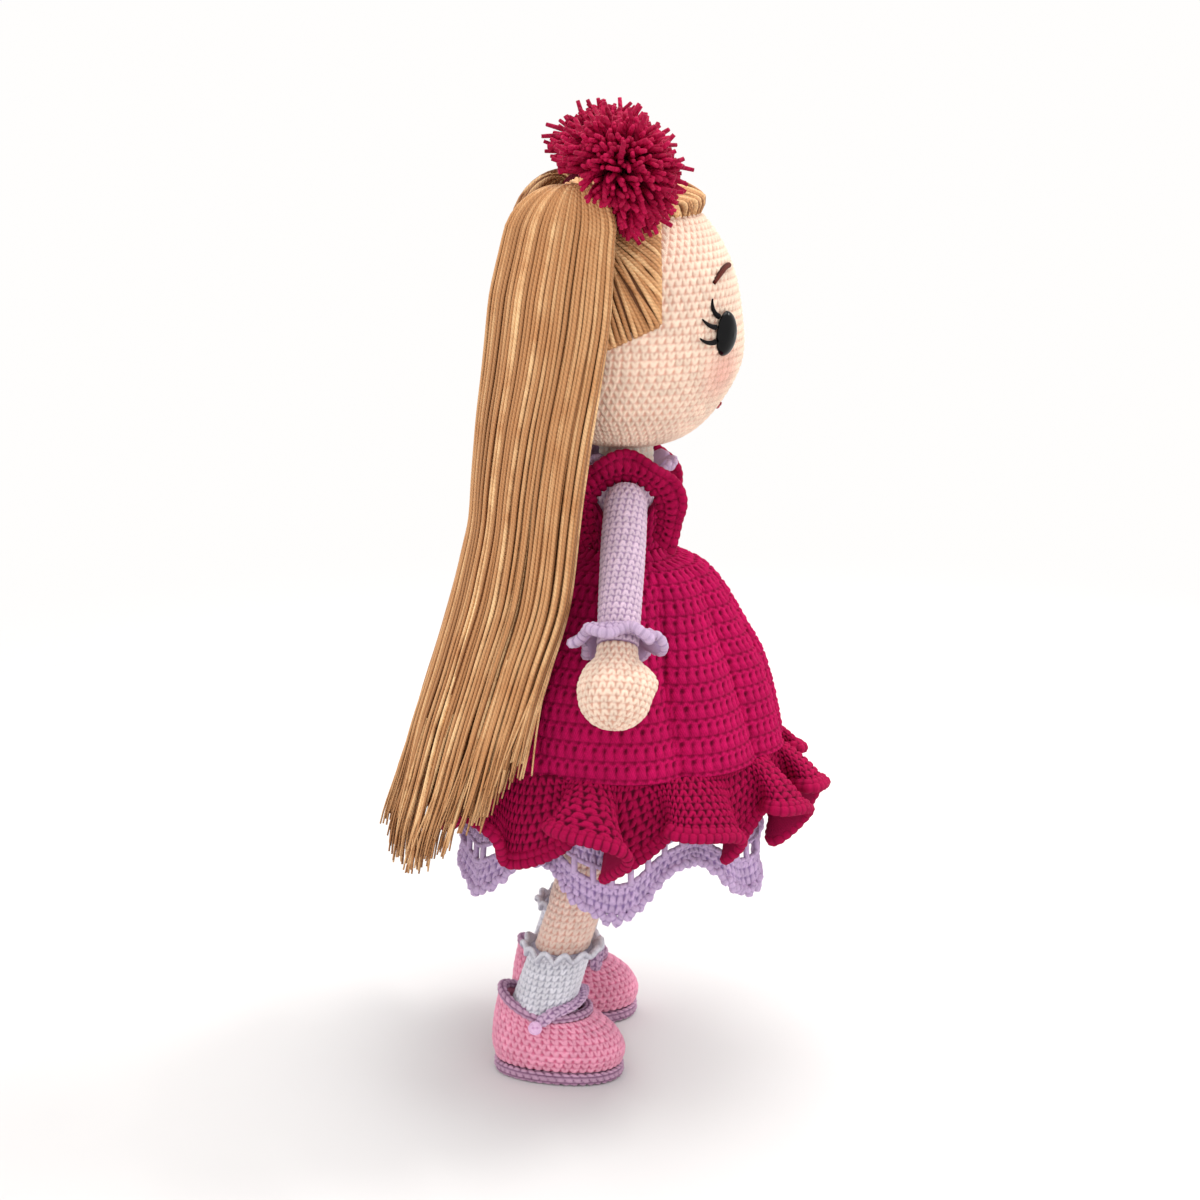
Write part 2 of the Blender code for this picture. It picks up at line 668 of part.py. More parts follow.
BODY_SHARES = (
    # height from the hip to the waist, and half width and half depth by those of the hips
    (-0.080, 0.78, 0.70),
    (-0.030, 0.95, 0.92),
    (0.10, 1.00, 1.00),
    (0.30, 0.90, 0.95),
    (0.62, 0.72, 0.86),
)
CHEST_SHARES = ((0.0, 0.0), (0.6, 0.8), (1.0, 1.0))
BODY_SIDES = 18


def body_rings(grow):
    rings = []
    for rise, wide, deep in BODY_SHARES:
        z = HIP_Z + HIP_TO_WAIST * rise - (grow if rise == BODY_SHARES[0][0] else 0.0)
        rings.append(lathe_ring((0, mix(HIP_Y, WAIST_Y, max(rise, 0.0)), z), HIP_HALF_WIDTH * wide + grow,
                                HIP_HALF_DEPTH * deep + grow, BODY_SIDES))
    for rise, share in CHEST_SHARES:
        half_x = mix(WAIST_HALF_WIDTH, SHOULDER_HALF_WIDTH, share) + grow
        half_y = mix(WAIST_HALF_DEPTH, SHOULDER_HALF_DEPTH, share) + grow
        rings.append(lathe_ring((0, mix(WAIST_Y, SHOULDER_Y, rise), mix(WAIST_Z, SHOULDER_Z, rise)), half_x, half_y,
                                BODY_SIDES))
    slope = mix(SHOULDER_HALF_WIDTH, NECK_RADIUS, 0.45) + grow
    rings.append(lathe_ring((0, NECK_Y, mix(SHOULDER_Z, NECK_Z, 0.72)), slope, slope, BODY_SIDES))
    rings.append(lathe_ring((0, NECK_Y, NECK_Z), NECK_RADIUS + grow, NECK_RADIUS + grow, BODY_SIDES))
    return rings


def hip_point(side):
    return Vector((side * HIP_X, HIP_Y, HIP_Z))


def shoulder_point(side):
    return Vector((side * SHOULDER_X, SHOULDER_Y, SHOULDER_Z))


def ball_mesh(centre, radius, segments=20, rows=12):
    mesh = bmesh.new()
    bmesh.ops.create_uvsphere(mesh, u_segments=segments, v_segments=rows, radius=radius)
    bmesh.ops.translate(mesh, verts=mesh.verts, vec=centre)
    return mesh


def leg_sweep_cutters(label, side):
    # The room that a leg needs as it swings: a ball for the hip, and the leg at steps of its range.
    hip = hip_point(side)
    radius = HIP_BALL_RADIUS + SEAT_GAP
    cutters = [make_cutter("hip_hollow_" + label, ball_mesh(hip, radius, 28, 16))]
    down = (leg_axis(side, ANKLE_Z) - hip).normalized()
    for number in range(LEG_STEPS + 1):
        angle = math.radians(mix(LEG_BACK, -LEG_FORWARD, number / LEG_STEPS))
        swung = Matrix.Rotation(angle, 3, "X") @ down
        rod = rod_mesh(hip, hip + swung * LEG_DROP / 2, radius, 14)
        cutters.append(make_cutter("leg_sweep_%s_%d" % (label, number), rod))
    return cutters


def make_torso():
    # The blouse is the body's own fabric. It is open at the neck, and the legs sit in two hollows under it.
    outer = body_rings(0.0)
    inner = body_rings(-KNIT_WALL)
    skin = loft("body", list(inner) + list(reversed(outer)), LILAC)
    filling = loft("body_stuffing", body_rings(-KNIT_WALL - CLEARANCE), STUFFING)
    hollows = []
    for label, side in SIDES.items():
        hollows += leg_sweep_cutters(label, side)
    thread_reach = SHOULDER_X + ARM_RADIUS / 2
    thread_ends = [Vector((-thread_reach, SHOULDER_Y, SHOULDER_Z)), Vector((thread_reach, SHOULDER_Y, SHOULDER_Z))]
    thread_hole = make_cutter("thread_hole", rod_mesh(*thread_ends, SHOULDER_THREAD_RADIUS + CLEARANCE, 8))
    dowel_hole = make_cutter("dowel_hole", rod_mesh(
        Vector((0, NECK_Y, DOWEL_LOW - CLEARANCE)), Vector((0, NECK_Y, HEAD_Z)), DOWEL_RADIUS + CLEARANCE, 12))
    cut(skin, hollows + [thread_hole])
    cut(filling, hollows + [dowel_hole, thread_hole])
    neck_rings = []
    for z, radius in ((NECK_Z + CLEARANCE, NECK_RADIUS), (NECK_TOP, NECK_RADIUS),
                      (NECK_TOP, DOWEL_RADIUS + CLEARANCE), (NECK_Z + CLEARANCE, DOWEL_RADIUS + CLEARANCE)):
        neck_rings.append(lathe_ring((0, NECK_Y, z), radius, radius, 20))
    loft("neck", neck_rings, SKIN, wrap=True)
    dowel = finish("neck_dowel", rod_mesh(Vector((0, NECK_Y, DOWEL_LOW)), Vector((0, NECK_Y, DOWEL_TOP)),
                                          DOWEL_RADIUS, 12), WOOD)
    finish("shoulder_thread", rod_mesh(*thread_ends, SHOULDER_THREAD_RADIUS, 8), LILAC)
    cut(dowel, [thread_hole])


# Arms


SLEEVE_SHARES = ((-1.0, 0.34), (-0.70, 0.71), (0.0, 1.0), (3.0, 1.03))
HAND_SHARES = ((0.0, 0.0), (0.14, 0.10), (0.32, 0.75), (0.52, 1.0), (0.80, 0.84), (0.96, 0.42))
ARM_SIDES = 12


def arm_matrix(side):
    # Straight down at first, then splayed sideways over the skirt and tilted a little back.
    return (Matrix.Translation(shoulder_point(side)) @ Matrix.Rotation(ARM_TILT, 4, "X")
            @ Matrix.Rotation(side * -ARM_SPLAY, 4, "Y"))


def arm_ring(side, down, half_x, half_y, **waves):
    place = arm_matrix(side)
    return [place @ point for point in lathe_ring((0, 0, -down), half_x, half_y, ARM_SIDES, **waves)]


def sleeve_rings(side, grow):
    rings = []
    for down, share in SLEEVE_SHARES:
        radius = ARM_RADIUS * share + grow * (1 if down > -0.5 else share)
        rings.append(arm_ring(side, down * (ARM_RADIUS + (grow if down < 0 else 0)), radius, radius))
    rings.append(arm_ring(side, ARM_LENGTH, WRIST_RADIUS + grow, WRIST_RADIUS + grow))
    return rings


def hand_rings(side, grow, start):
    rings = []
    for down, share in HAND_SHARES:
        half_x = mix(WRIST_RADIUS, HAND_HALF_THICKNESS, share) if down < 0.5 else HAND_HALF_THICKNESS * share
        half_y = mix(WRIST_RADIUS, HAND_HALF_WIDTH, share) if down < 0.5 else HAND_HALF_WIDTH * share
        place = start + (HAND_LENGTH + grow) * down
        rings.append(arm_ring(side, place, half_x + grow, half_y + grow))
    return rings


def make_arm(label, side):
    pivot = shoulder_point(side)
    thread_reach = SHOULDER_X + ARM_RADIUS / 2
    sleeve_outer = sleeve_rings(side, 0.0)
    sleeve_inner = sleeve_rings(side, -KNIT_WALL)
    sleeve = loft("sleeve_" + label, list(reversed(sleeve_outer)) + sleeve_inner, LILAC, pivot=pivot)
    hand_start = ARM_LENGTH + CLEARANCE
    hand_outer = hand_rings(side, 0.0, hand_start)
    hand_inner = hand_rings(side, -KNIT_WALL, hand_start)
    hand = loft("hand_" + label, list(reversed(hand_inner)) + hand_outer, SKIN, pivot=pivot)
    thumb_place = arm_matrix(side) @ Vector((0, -WRIST_RADIUS - THUMB_RADIUS * 0.2, -hand_start - HAND_LENGTH * 0.34))
    hand_core = make_cutter("hand_core_" + label, loft_mesh(hand_rings(side, -KNIT_WALL / 2, hand_start)))
    thumb = make_cutter("thumb_" + label, ball_mesh(thumb_place, THUMB_RADIUS, 10, 6))
    cut(thumb, [hand_core])
    cut(hand, [thumb], "UNION")
    filling_rings = sleeve_rings(side, -KNIT_WALL - CLEARANCE)
    filling_rings += hand_rings(side, -KNIT_WALL - CLEARANCE, hand_start)
    filling = loft("arm_stuffing_" + label, filling_rings, STUFFING, pivot=pivot)
    thread_space = make_cutter("thread_space_" + label, rod_mesh(
        Vector((0, SHOULDER_Y, SHOULDER_Z)), Vector((side * (thread_reach + CLEARANCE * 2), SHOULDER_Y, SHOULDER_Z)),
        SHOULDER_THREAD_RADIUS + CLEARANCE, 8))
    cut(sleeve, [thread_space])
    cut(filling, [thread_space])
    cuff_rings = []
    low = ARM_LENGTH
    for down, depth, wave in ((-CUFF_HEIGHT, 0.0, 0.0), (-CUFF_HEIGHT * 0.5, CUFF_DEPTH * 0.55, 0.5),
                              (0.0, CUFF_DEPTH, 1.0)):
        cuff_rings.append(cuff_ring(side, low + down, WRIST_RADIUS + SWING_GAP + CLOTH_WALL * 0.8 + depth, wave))
    for down, depth, wave in ((0.0, CUFF_DEPTH - CLOTH_WALL * 0.4, 1.0), (-CUFF_HEIGHT * 0.4, CUFF_DEPTH * 0.4, 0.5),
                              (-CUFF_HEIGHT, -CLOTH_WALL * 0.8, 0.0)):
        cuff_rings.append(cuff_ring(side, low + down + CLOTH_WALL * 0.8 * wave,
                                    WRIST_RADIUS + SWING_GAP + CLOTH_WALL * 0.8 + depth, wave))
    loft("cuff_frill_" + label, cuff_rings, LILAC, wrap=True, pivot=pivot)


def cuff_ring(side, down, radius, wave):
    place = arm_matrix(side)
    narrow = mix(1.0, 0.86, wave)
    points = lathe_ring((0, 0, -down), radius * narrow, radius, CUFF_LOBES * 3, depth=CUFF_DEPTH * 0.12 * wave,
                        waves=CUFF_LOBES, drop=CUFF_HEIGHT * 0.12 * wave)
    return [place @ point for point in points]


# Legs, socks and shoes


LEG_SIDES = 12


def foot_lead(side):
    # The left foot stands a little ahead of the right one.
    return LEFT_FOOT_LEAD if side > 0 else 0.0


def foot_matrix(side):
    # The foot stands on the floor with its heel at HEEL_Y and its toes turned out.
    middle = HEEL_Y - SHOE_LENGTH / 2 - foot_lead(side)
    return Matrix.Translation((side * FOOT_X, middle, 0)) @ Matrix.Rotation(side * TOE_OUT, 4, "Z")


def leg_axis(side, z):
    # The leg slants back and outwards from the hip to the ankle.
    share = (HIP_Z - z) / LEG_DROP
    return Vector((side * mix(HIP_X, FOOT_X, share), mix(HIP_Y, ANKLE_Y - foot_lead(side), share), z))


def leg_ring(side, z, radius):
    return lathe_ring(leg_axis(side, z), radius, radius, LEG_SIDES)


SOCK_TOP_Z = ANKLE_Z + SOCK_TOP_RISE
HIP_CAP_SHARES = ((0.96, 0.28), (0.70, 0.71), (0.0, 1.0))


def leg_rings(side, grow):
    rings = [leg_ring(side, SOCK_TOP_Z + CLEARANCE, LEG_RADIUS + grow)]
    rings.append(leg_ring(side, mix(SOCK_TOP_Z, HIP_Z, 0.35), LEG_RADIUS + grow))
    rings.append(leg_ring(side, mix(SOCK_TOP_Z, HIP_Z, 0.72), mix(LEG_RADIUS, HIP_BALL_RADIUS, 0.6) + grow))
    hip = hip_point(side)
    for rise, share in reversed(HIP_CAP_SHARES):
        radius = HIP_BALL_RADIUS + grow
        rings.append(lathe_ring((hip.x, hip.y, hip.z + radius * rise), radius * share, radius * share, LEG_SIDES))
    return rings


def sole_outline(grow, z, count=18, draw_in=0.0, target=None):
    # A foot-shaped oval, wider at the ball than at the heel; draw_in moves it towards the opening's oval.
    points = []
    for step in range(count):
        turn = 2 * math.pi * step / count
        forward = math.cos(turn)
        width = mix(HEEL_HALF_WIDTH, BALL_HALF_WIDTH, 0.5 + 0.5 * forward)
        x = (width + grow) * math.sin(turn) * (1 + 0.06 * math.cos(2 * turn))
        y = -(SHOE_LENGTH / 2 + grow) * forward
        if target is not None:
            tx, ty = target(turn)
            x = mix(x, tx, draw_in)
            y = mix(y, ty, draw_in)
        points.append(Vector((x, y, z[step] if isinstance(z, list) else z)))
    return points


def opening_oval(grow):
    middle = SHOE_LENGTH / 2 - OPENING_LENGTH / 2 - RIM_RADIUS

    def target(turn):
        return ((OPENING_HALF_WIDTH + grow) * math.sin(turn), middle - (OPENING_LENGTH / 2 + grow) * math.cos(turn))
    return target


# Rise and draw-in of the upper's side, from the sole to the opening's rim
UPPER_SHARES = ((0.0, 0.0, -0.2), (0.28, 0.02, 1.0), (0.58, 0.20, 0.9), (0.84, 0.60, 0.5), (1.0, 1.0, 0.0))


def upper_rings(side, grow):
    place = foot_matrix(side)
    rings = []
    count = 18
    for rise, draw, bulge in UPPER_SHARES:
        heights = []
        for step in range(count):
            turn = 2 * math.pi * step / count
            heel = max(-math.cos(turn), 0.0) ** 1.5
            top = RIM_HEIGHT + HEEL_RISE * heel
            low = SOLE_TOP + CLEARANCE
            heights.append(mix(low, top, rise) + (grow if 0.0 < rise < 1.0 and grow < 0 else 0.0) * draw)
        shape = sole_outline(grow + SHOE_BULGE * bulge, heights, count, draw, opening_oval(grow))
        rings.append([place @ point for point in shape])
    return rings


def foot_rings(side, grow):
    # The sock's foot: a rounded bag that fills the shoe and runs up into the ankle.
    rings = []
    place = foot_matrix(side)
    ankle = leg_axis(side, ANKLE_Z)
    half_length = SHOE_LENGTH / 2 - SHOE_BULGE - KNIT_WALL
    middle = place @ Vector((0, KNIT_WALL / 4, 0))
    rows = ((0.0, 0.74), (0.20, 0.93), (0.38, 1.0), (0.60, 0.95), (0.80, 0.82))
    for rise, share in rows:
        z = FOOT_BOTTOM - (grow if rise == 0 else 0) + ANKLE_RISE * rise
        toe_slip = max(rise - 0.3, 0.0)
        length = (half_length * share + grow) * (1 - 0.42 * toe_slip)
        width = FOOT_HALF_WIDTH * share + grow
        centre = Vector((middle.x, middle.y + half_length * 0.36 * toe_slip, z))
        ring = lathe_ring((0, 0, 0), width, length, LEG_SIDES)
        spin = Matrix.Translation(centre) @ Matrix.Rotation(side * TOE_OUT, 4, "Z")
        rings.append([spin @ point for point in ring])
    for share, width in ((0.25, 1.0), (0.6, 1.0), (1.0, 0.98)):
        z = mix(ANKLE_Z, SOCK_TOP_Z, share)
        rings.append(leg_ring(side, z, SOCK_RADIUS * width + grow))
    return rings


def make_leg(label, side):
    pivot = hip_point(side)
    outer = leg_rings(side, 0.0)
    inner = leg_rings(side, -KNIT_WALL)
    loft("leg_" + label, list(reversed(inner)) + outer, SKIN, pivot=pivot)
    sock_outer = foot_rings(side, 0.0)
    sock_inner = foot_rings(side, -KNIT_WALL)
    loft("sock_" + label, list(reversed(sock_outer)) + sock_inner, WHITE, pivot=pivot)
    filling = foot_rings(side, -KNIT_WALL - CLEARANCE)[:-1]
    filling += leg_rings(side, -KNIT_WALL - CLEARANCE)
    loft("leg_stuffing_" + label, filling, STUFFING, pivot=pivot)
    frill = []
    reach = SOCK_RADIUS + CLEARANCE
    top = SOCK_TOP_Z
    for z, radius, wave in ((top - FRILL_HEIGHT, reach, 0.0), (top - FRILL_HEIGHT * 0.4, reach + FRILL_DEPTH * 0.6, 0.5),
                            (top + FRILL_HEIGHT * 0.4, reach + FRILL_DEPTH * 0.8, 1.0),
                            (top - FRILL_HEIGHT * 0.2, reach, 0.5)):
        frill.append(lathe_ring(leg_axis(side, z), radius + CLEARANCE, radius + CLEARANCE, FRILL_POINTS * 3,
                                depth=FRILL_DEPTH * 0.16 * wave, waves=FRILL_POINTS, drop=FRILL_HEIGHT * 0.14 * wave))
    loft("sock_frill_" + label, frill, WHITE, wrap=True, pivot=pivot)
    make_shoe(label, side, pivot)


def make_shoe(label, side, pivot):
    place = foot_matrix(side)
    sole = [[place @ point for point in sole_outline(grow, z)] for grow, z in (
        (-SOLE_THICKNESS * 0.12, 0.0), (SHOE_BULGE, SOLE_THICKNESS * 0.22), (SHOE_BULGE, SOLE_THICKNESS * 0.78),
        (0.0, SOLE_THICKNESS))]
    loft("shoe_sole_" + label, sole, LILAC, pivot=pivot)
    inside = -KNIT_WALL - SHOE_BULGE - CLEARANCE
    board = [[place @ point for point in sole_outline(inside, z)]
             for z in (INSOLE_BOTTOM, INSOLE_BOTTOM + INSOLE_THICKNESS)]
    loft("insole_" + label, board, CARD, pivot=pivot)
    upper = loft("shoe_upper_" + label, upper_rings(side, 0.0) + list(reversed(upper_rings(side, -KNIT_WALL))), PINK,
                 wrap=True, pivot=pivot)
    foot_space = make_cutter("foot_space_" + label, loft_mesh(foot_rings(side, SWING_GAP + CLEARANCE)))
    cut(upper, [foot_space])
    rim_rings = []
    sides = 5
    target = opening_oval(-KNIT_WALL / 2)
    for step in range(16):
        turn = 2 * math.pi * step / 16
        x, y = target(turn)
        heel = max(-math.cos(turn), 0.0) ** 1.5
        z = RIM_HEIGHT + HEEL_RISE * heel + CLEARANCE + RIM_RADIUS
        outward = Vector((math.sin(turn), -math.cos(turn), 0))
        rim_rings.append([place @ (Vector((x, y, z)) + outward * RIM_RADIUS * math.cos(2 * math.pi * part / sides)
                                   + Vector((0, 0, 1)) * RIM_RADIUS * math.sin(2 * math.pi * part / sides))
                          for part in range(sides)])
    rim = loft("shoe_rim_" + label, rim_rings, LILAC, wrap=True, pivot=pivot)
    cut(rim, [foot_space])
    make_strap(label, side, pivot, foot_space)


# Strap places in the shoe's own frame: share of the opening's half width outwards, share of its length from the
# middle towards the toe, and share of the rim's height above the rim
STRAP_SHARES = (
    (-1.17, 0.31, -0.19), (-1.12, 0.33, -0.08), (-0.98, 0.35, 0.01), (-0.78, 0.37, 0.05), (-0.45, 0.39, 0.08),
    (0.0, 0.40, 0.09), (0.45, 0.37, 0.08), (0.82, 0.27, 0.05), (1.03, 0.15, 0.01), (1.15, 0.06, -0.07),
    (1.21, -0.04, -0.18),
)


def make_strap(label, side, pivot, foot_space):
    place = foot_matrix(side)
    middle = SHOE_LENGTH / 2 - OPENING_LENGTH / 2 - RIM_RADIUS
    route = []
    for out, forward, rise in STRAP_SHARES:
        z = RIM_HEIGHT + RIM_RADIUS * 2 + STRAP_THICKNESS / 2 + CLEARANCE * 2 + RIM_HEIGHT * rise
        route.append(place @ Vector((side * OPENING_HALF_WIDTH * out, middle - OPENING_LENGTH * forward, z)))
    strap = finish("shoe_strap_" + label, tube_mesh(route, STRAP_WIDTH / 2, STRAP_THICKNESS / 2,
                                                    Vector((0, -1, 0)), 6), LILAC, pivot=pivot)
    cut(strap, [foot_space])
    end = route[-1]
    outward = (Vector((side, 0, 0)) + Vector((0, 0, 1)) * 0.2).normalized()
    button_low = end + outward * (STRAP_THICKNESS / 2 + CLEARANCE * 3)
    first, second = frame_along(outward, Vector((0, 1, 0)))
    rings = []
    for height, radius in ((0.0, 0.86), (0.25, 1.0), (0.8, 1.0), (1.0, 0.86), (0.78, 0.66)):
        rings.append([button_low + outward * BUTTON_THICKNESS * height
                      + (first * math.cos(2 * math.pi * step / 10) + second * math.sin(2 * math.pi * step / 10))
                      * BUTTON_RADIUS * radius for step in range(10)])
    button = loft("shoe_button_" + label, rings, BUTTON, pivot=pivot)
    for number, way in enumerate((-1, 1)):
        spot = button_low + first * way * BUTTON_HOLE_SPACING / 2
        hole = make_cutter("button_hole_%s_%d" % (label, number), rod_mesh(
            spot - outward * BUTTON_THICKNESS, spot + outward * BUTTON_THICKNESS * 2, BUTTON_HOLE_RADIUS, 4))
        cut(button, [hole])


# Dress


# Place down the skirt, and the half depth and half width there as shares of the hem's
SKIRT_SHARES = (
    (0.000, 0.255, 0.320),
    (0.036, 0.290, 0.345),
    (0.095, 0.455, 0.455),
    (0.190, 0.572, 0.545),
    (0.393, 0.731, 0.690),
    (0.600, 0.878, 0.820),
    (0.810, 0.951, 0.920),
    (1.000, 1.000, 1.000),
)
CLOTH_SIDES = 36


def skirt_ring(share, grow, folds=1.0):
    deep = read_table(SKIRT_SHARES, share, 1) * SKIRT_HALF_DEPTH + grow
    wide = read_table(SKIRT_SHARES, share, 2) * SKIRT_HALF_WIDTH + grow
    middle = mix(WAIST_Y, HEM_Y, min(share * 1.6, 1.0))
    depth = SKIRT_FOLD_DEPTH * math.sin(min(share, 0.8) / 0.8 * math.pi / 2) * folds
    return lathe_ring((0, middle, WAIST_Z - SKIRT_LENGTH * share), wide, deep, CLOTH_SIDES, depth=depth,
                      waves=SKIRT_FOLDS)


def make_skirt():
    outer = [skirt_ring(row[0], 0.0) for row in reversed(SKIRT_SHARES)]
    inner = [skirt_ring(row[0], -CLOTH_WALL) for row in SKIRT_SHARES]
    loft("dress_skirt", outer + inner, MAGENTA, wrap=True)


# Place down the flounce, flare, wave and droop
FLOUNCE_SHARES = ((0.0, 0.0, 0.15, 0.0), (0.45, 0.70, 0.55, 0.30), (1.0, 1.0, 1.0, 1.0))


def flounce_ring(down, flare, wave, droop, grow):
    half_x = SKIRT_HALF_WIDTH + FLOUNCE_FLARE * flare + grow - SKIRT_FOLD_DEPTH
    half_y = SKIRT_HALF_DEPTH + FLOUNCE_FLARE * flare + grow - SKIRT_FOLD_DEPTH
    z = SKIRT_HEM_Z - CLEARANCE - FLOUNCE_LENGTH * down
    return lathe_ring((0, HEM_Y, z), half_x, half_y, FLOUNCE_WAVES * 4, depth=FLOUNCE_WAVE_DEPTH * wave,
                      waves=FLOUNCE_WAVES, drop=FLOUNCE_DROOP * droop)


def make_flounce():
    outer = [flounce_ring(*row, 0.0) for row in reversed(FLOUNCE_SHARES)]
    inner = [flounce_ring(*row, -CLOTH_WALL) for row in FLOUNCE_SHARES]
    loft("dress_flounce", outer + inner, MAGENTA, wrap=True)


# Place down the petticoat, half depth and half width as shares of its hem's, and the scallops' strength
PETTICOAT_SHARES = (
    (0.030, 0.280, 0.332, 0.0),
    (0.070, 0.420, 0.385, 0.0),
    (0.140, 0.560, 0.480, 0.0),
    (0.250, 0.710, 0.630, 0.0),
    (0.400, 0.830, 0.770, 0.0),
    (0.640, 0.950, 0.920, 0.0),
    (0.830, 0.985, 0.970, 0.45),
    (1.000, 1.000, 1.000, 1.0),
)


def petticoat_ring(row, grow):
    down, deep, wide, wave = row
    middle = mix(WAIST_Y, HEM_Y, min(down * 2.2, 1.0))
    return lathe_ring((0, middle, WAIST_Z - PETTICOAT_LENGTH * down), PETTICOAT_HALF_WIDTH * wide + grow,
                      PETTICOAT_HALF_DEPTH * deep + grow, PETTICOAT_SCALLOPS * 6, depth=SCALLOP_DEPTH * wave,
                      waves=PETTICOAT_SCALLOPS, phase=math.pi, drop=SCALLOP_DROP * wave)


def make_petticoat():
    outer = [petticoat_ring(row, 0.0) for row in reversed(PETTICOAT_SHARES)]
    inner = [petticoat_ring(row, -LACE_WALL) for row in PETTICOAT_SHARES]
    loft("petticoat", outer + inner, LILAC, wrap=True)


def bodice_ring(z, grow):
    share = (z - WAIST_Z) / (SHOULDER_Z - WAIST_Z)
    half_x = mix(WAIST_HALF_WIDTH, SHOULDER_HALF_WIDTH, share) + grow
    half_y = mix(WAIST_HALF_DEPTH, SHOULDER_HALF_DEPTH, share) + grow
    return lathe_ring((0, mix(WAIST_Y, SHOULDER_Y, share), z), half_x, half_y, 26)


def make_bodice():
    # The bodice hugs the blouse, and the armholes are cut through it.
    gap = CLEARANCE
    low = WAIST_Z + CLEARANCE
    high = WAIST_Z + BODICE_RISE
    rings = [bodice_ring(z, gap + BODICE_WALL) for z in (low, mix(low, high, 0.5), high)]
    rings += [bodice_ring(z, gap) for z in (high, mix(low, high, 0.5), low)]
    bodice = loft("dress_bodice", rings, MAGENTA, wrap=True)
    reach = SHOULDER_X + OVERRUN
    armhole = make_cutter("armholes", tube_mesh(
        [Vector((-reach, SHOULDER_Y, SHOULDER_Z)), Vector((reach, SHOULDER_Y, SHOULDER_Z))], ARMHOLE_RADIUS,
        ARMHOLE_RADIUS, Vector((0, 0, 1)), 20))
    cut(bodice, [armhole])


def make_strap_frill(label, side):
    # A frill that stands out round the armhole, from the waist at the front over the shoulder to the back.
    middle = Vector((side * (SHOULDER_HALF_WIDTH + SWING_GAP + BODICE_WALL), SHOULDER_Y, SHOULDER_Z - STRAP_FRILL_DROP))
    start = math.radians(-118)
    rings = []
    for step in range(17):
        share = step / 16
        turn = start + (math.radians(118) - start) * share
        way = Vector((0, math.sin(turn), math.cos(turn)))
        taper = math.sin(math.pi * min(max(share, 0.05), 0.95)) ** 0.4
        ripple = math.sin(share * math.pi * 14) * STRAP_FRILL_WALL * 0.18
        reach = STRAP_FRILL_WIDTH * mix(0.55, 1.0, taper)
        stretch = 1.0 + 0.12 * abs(math.cos(turn))
        near = middle + way * (ARMHOLE_RADIUS + SWING_GAP) * stretch
        far = near + way * reach + Vector((side * STRAP_FRILL_STAND, 0, 0))
        out = Vector((side, 0, 0)) * STRAP_FRILL_WALL
        lift = Vector((side, 0, 0)) * ripple
        rings.append([near, mix(near, far, 0.5) - out * 0.1 + lift * 0.5, far + lift, far + out + lift,
                      mix(near, far, 0.5) + out * 0.9 + lift * 0.5, near + out])
    frill = loft("shoulder_frill_" + label, rings, MAGENTA)
    return frill


def make_collar():
    rings = []
    base = NECK_RADIUS + SWING_GAP
    low = NECK_Z + CLEARANCE * 2
    for z, radius, wave in ((low, base, 0.0), (low - COLLAR_HEIGHT * 0.1, base + COLLAR_DEPTH * 0.6, 0.6),
                            (low + COLLAR_HEIGHT * 0.3, base + COLLAR_DEPTH, 1.0),
                            (low + COLLAR_HEIGHT * 0.7, base + COLLAR_DEPTH * 0.3, 0.3),
                            (low + COLLAR_HEIGHT, base, 0.0)):
        rings.append(lathe_ring((0, NECK_Y, z), radius, radius, COLLAR_LOBES * 3, depth=COLLAR_DEPTH * 0.09 * wave,
                                waves=COLLAR_LOBES))
    loft("collar", rings, LILAC, wrap=True)


make_head()
make_face()
make_hair()
make_torso()
make_bodice()
make_collar()
make_skirt()
make_flounce()
make_petticoat()
for side_label, side_sign in SIDES.items():
    make_strap_frill(side_label, side_sign)
    make_arm(side_label, side_sign)
    make_leg(side_label, side_sign)
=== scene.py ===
import math
import bpy
import numpy as np
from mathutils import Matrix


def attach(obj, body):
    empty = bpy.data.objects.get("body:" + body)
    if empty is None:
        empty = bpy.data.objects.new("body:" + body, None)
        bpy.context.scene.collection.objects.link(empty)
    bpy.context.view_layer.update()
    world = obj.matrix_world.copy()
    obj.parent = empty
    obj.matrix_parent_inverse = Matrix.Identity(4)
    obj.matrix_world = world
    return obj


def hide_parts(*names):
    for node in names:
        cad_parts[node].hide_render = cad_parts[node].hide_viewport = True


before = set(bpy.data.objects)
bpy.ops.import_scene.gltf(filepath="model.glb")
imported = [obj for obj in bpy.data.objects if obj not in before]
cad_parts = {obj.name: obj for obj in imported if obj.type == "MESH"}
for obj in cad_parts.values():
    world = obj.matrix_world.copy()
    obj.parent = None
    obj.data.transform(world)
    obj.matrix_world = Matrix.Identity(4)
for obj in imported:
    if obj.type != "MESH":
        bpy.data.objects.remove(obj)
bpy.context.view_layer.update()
rng = np.random.default_rng(7)
sides = {"right": -1, "left": 1}
mm = 0.001

# Places that the crocheted surfaces share with the frame's solids, in metres
headRadius, headHalfHeight, headY, headZ = 0.0480, 0.0530, -0.0040, 0.3185
neckRadius, neckY, neckZ, headBottom = 0.0108, -0.0070, 0.2530, 0.2655
waistY, waistZ, shoulderY, shoulderZ = -0.0060, 0.2240, -0.0065, 0.2455
eyeAngle = math.radians(35)
hipY, hipZ, sockTopZ = -0.0085, 0.1420, 0.0558
skirtHemZ, hemY = 0.1400, -0.0010


# Numbers and shapes

def mix(low, high, share):
    # low + (high - low) share
    return low + (high - low) * share


def unit(vectors):
    # each vector over its length
    length = np.linalg.norm(vectors, axis=-1, keepdims=True)
    return vectors / np.maximum(length, 1e-12)


def vec(x, y, z):
    # three arrays of one shape become points
    return np.stack(np.broadcast_arrays(x, y, z), axis=-1)


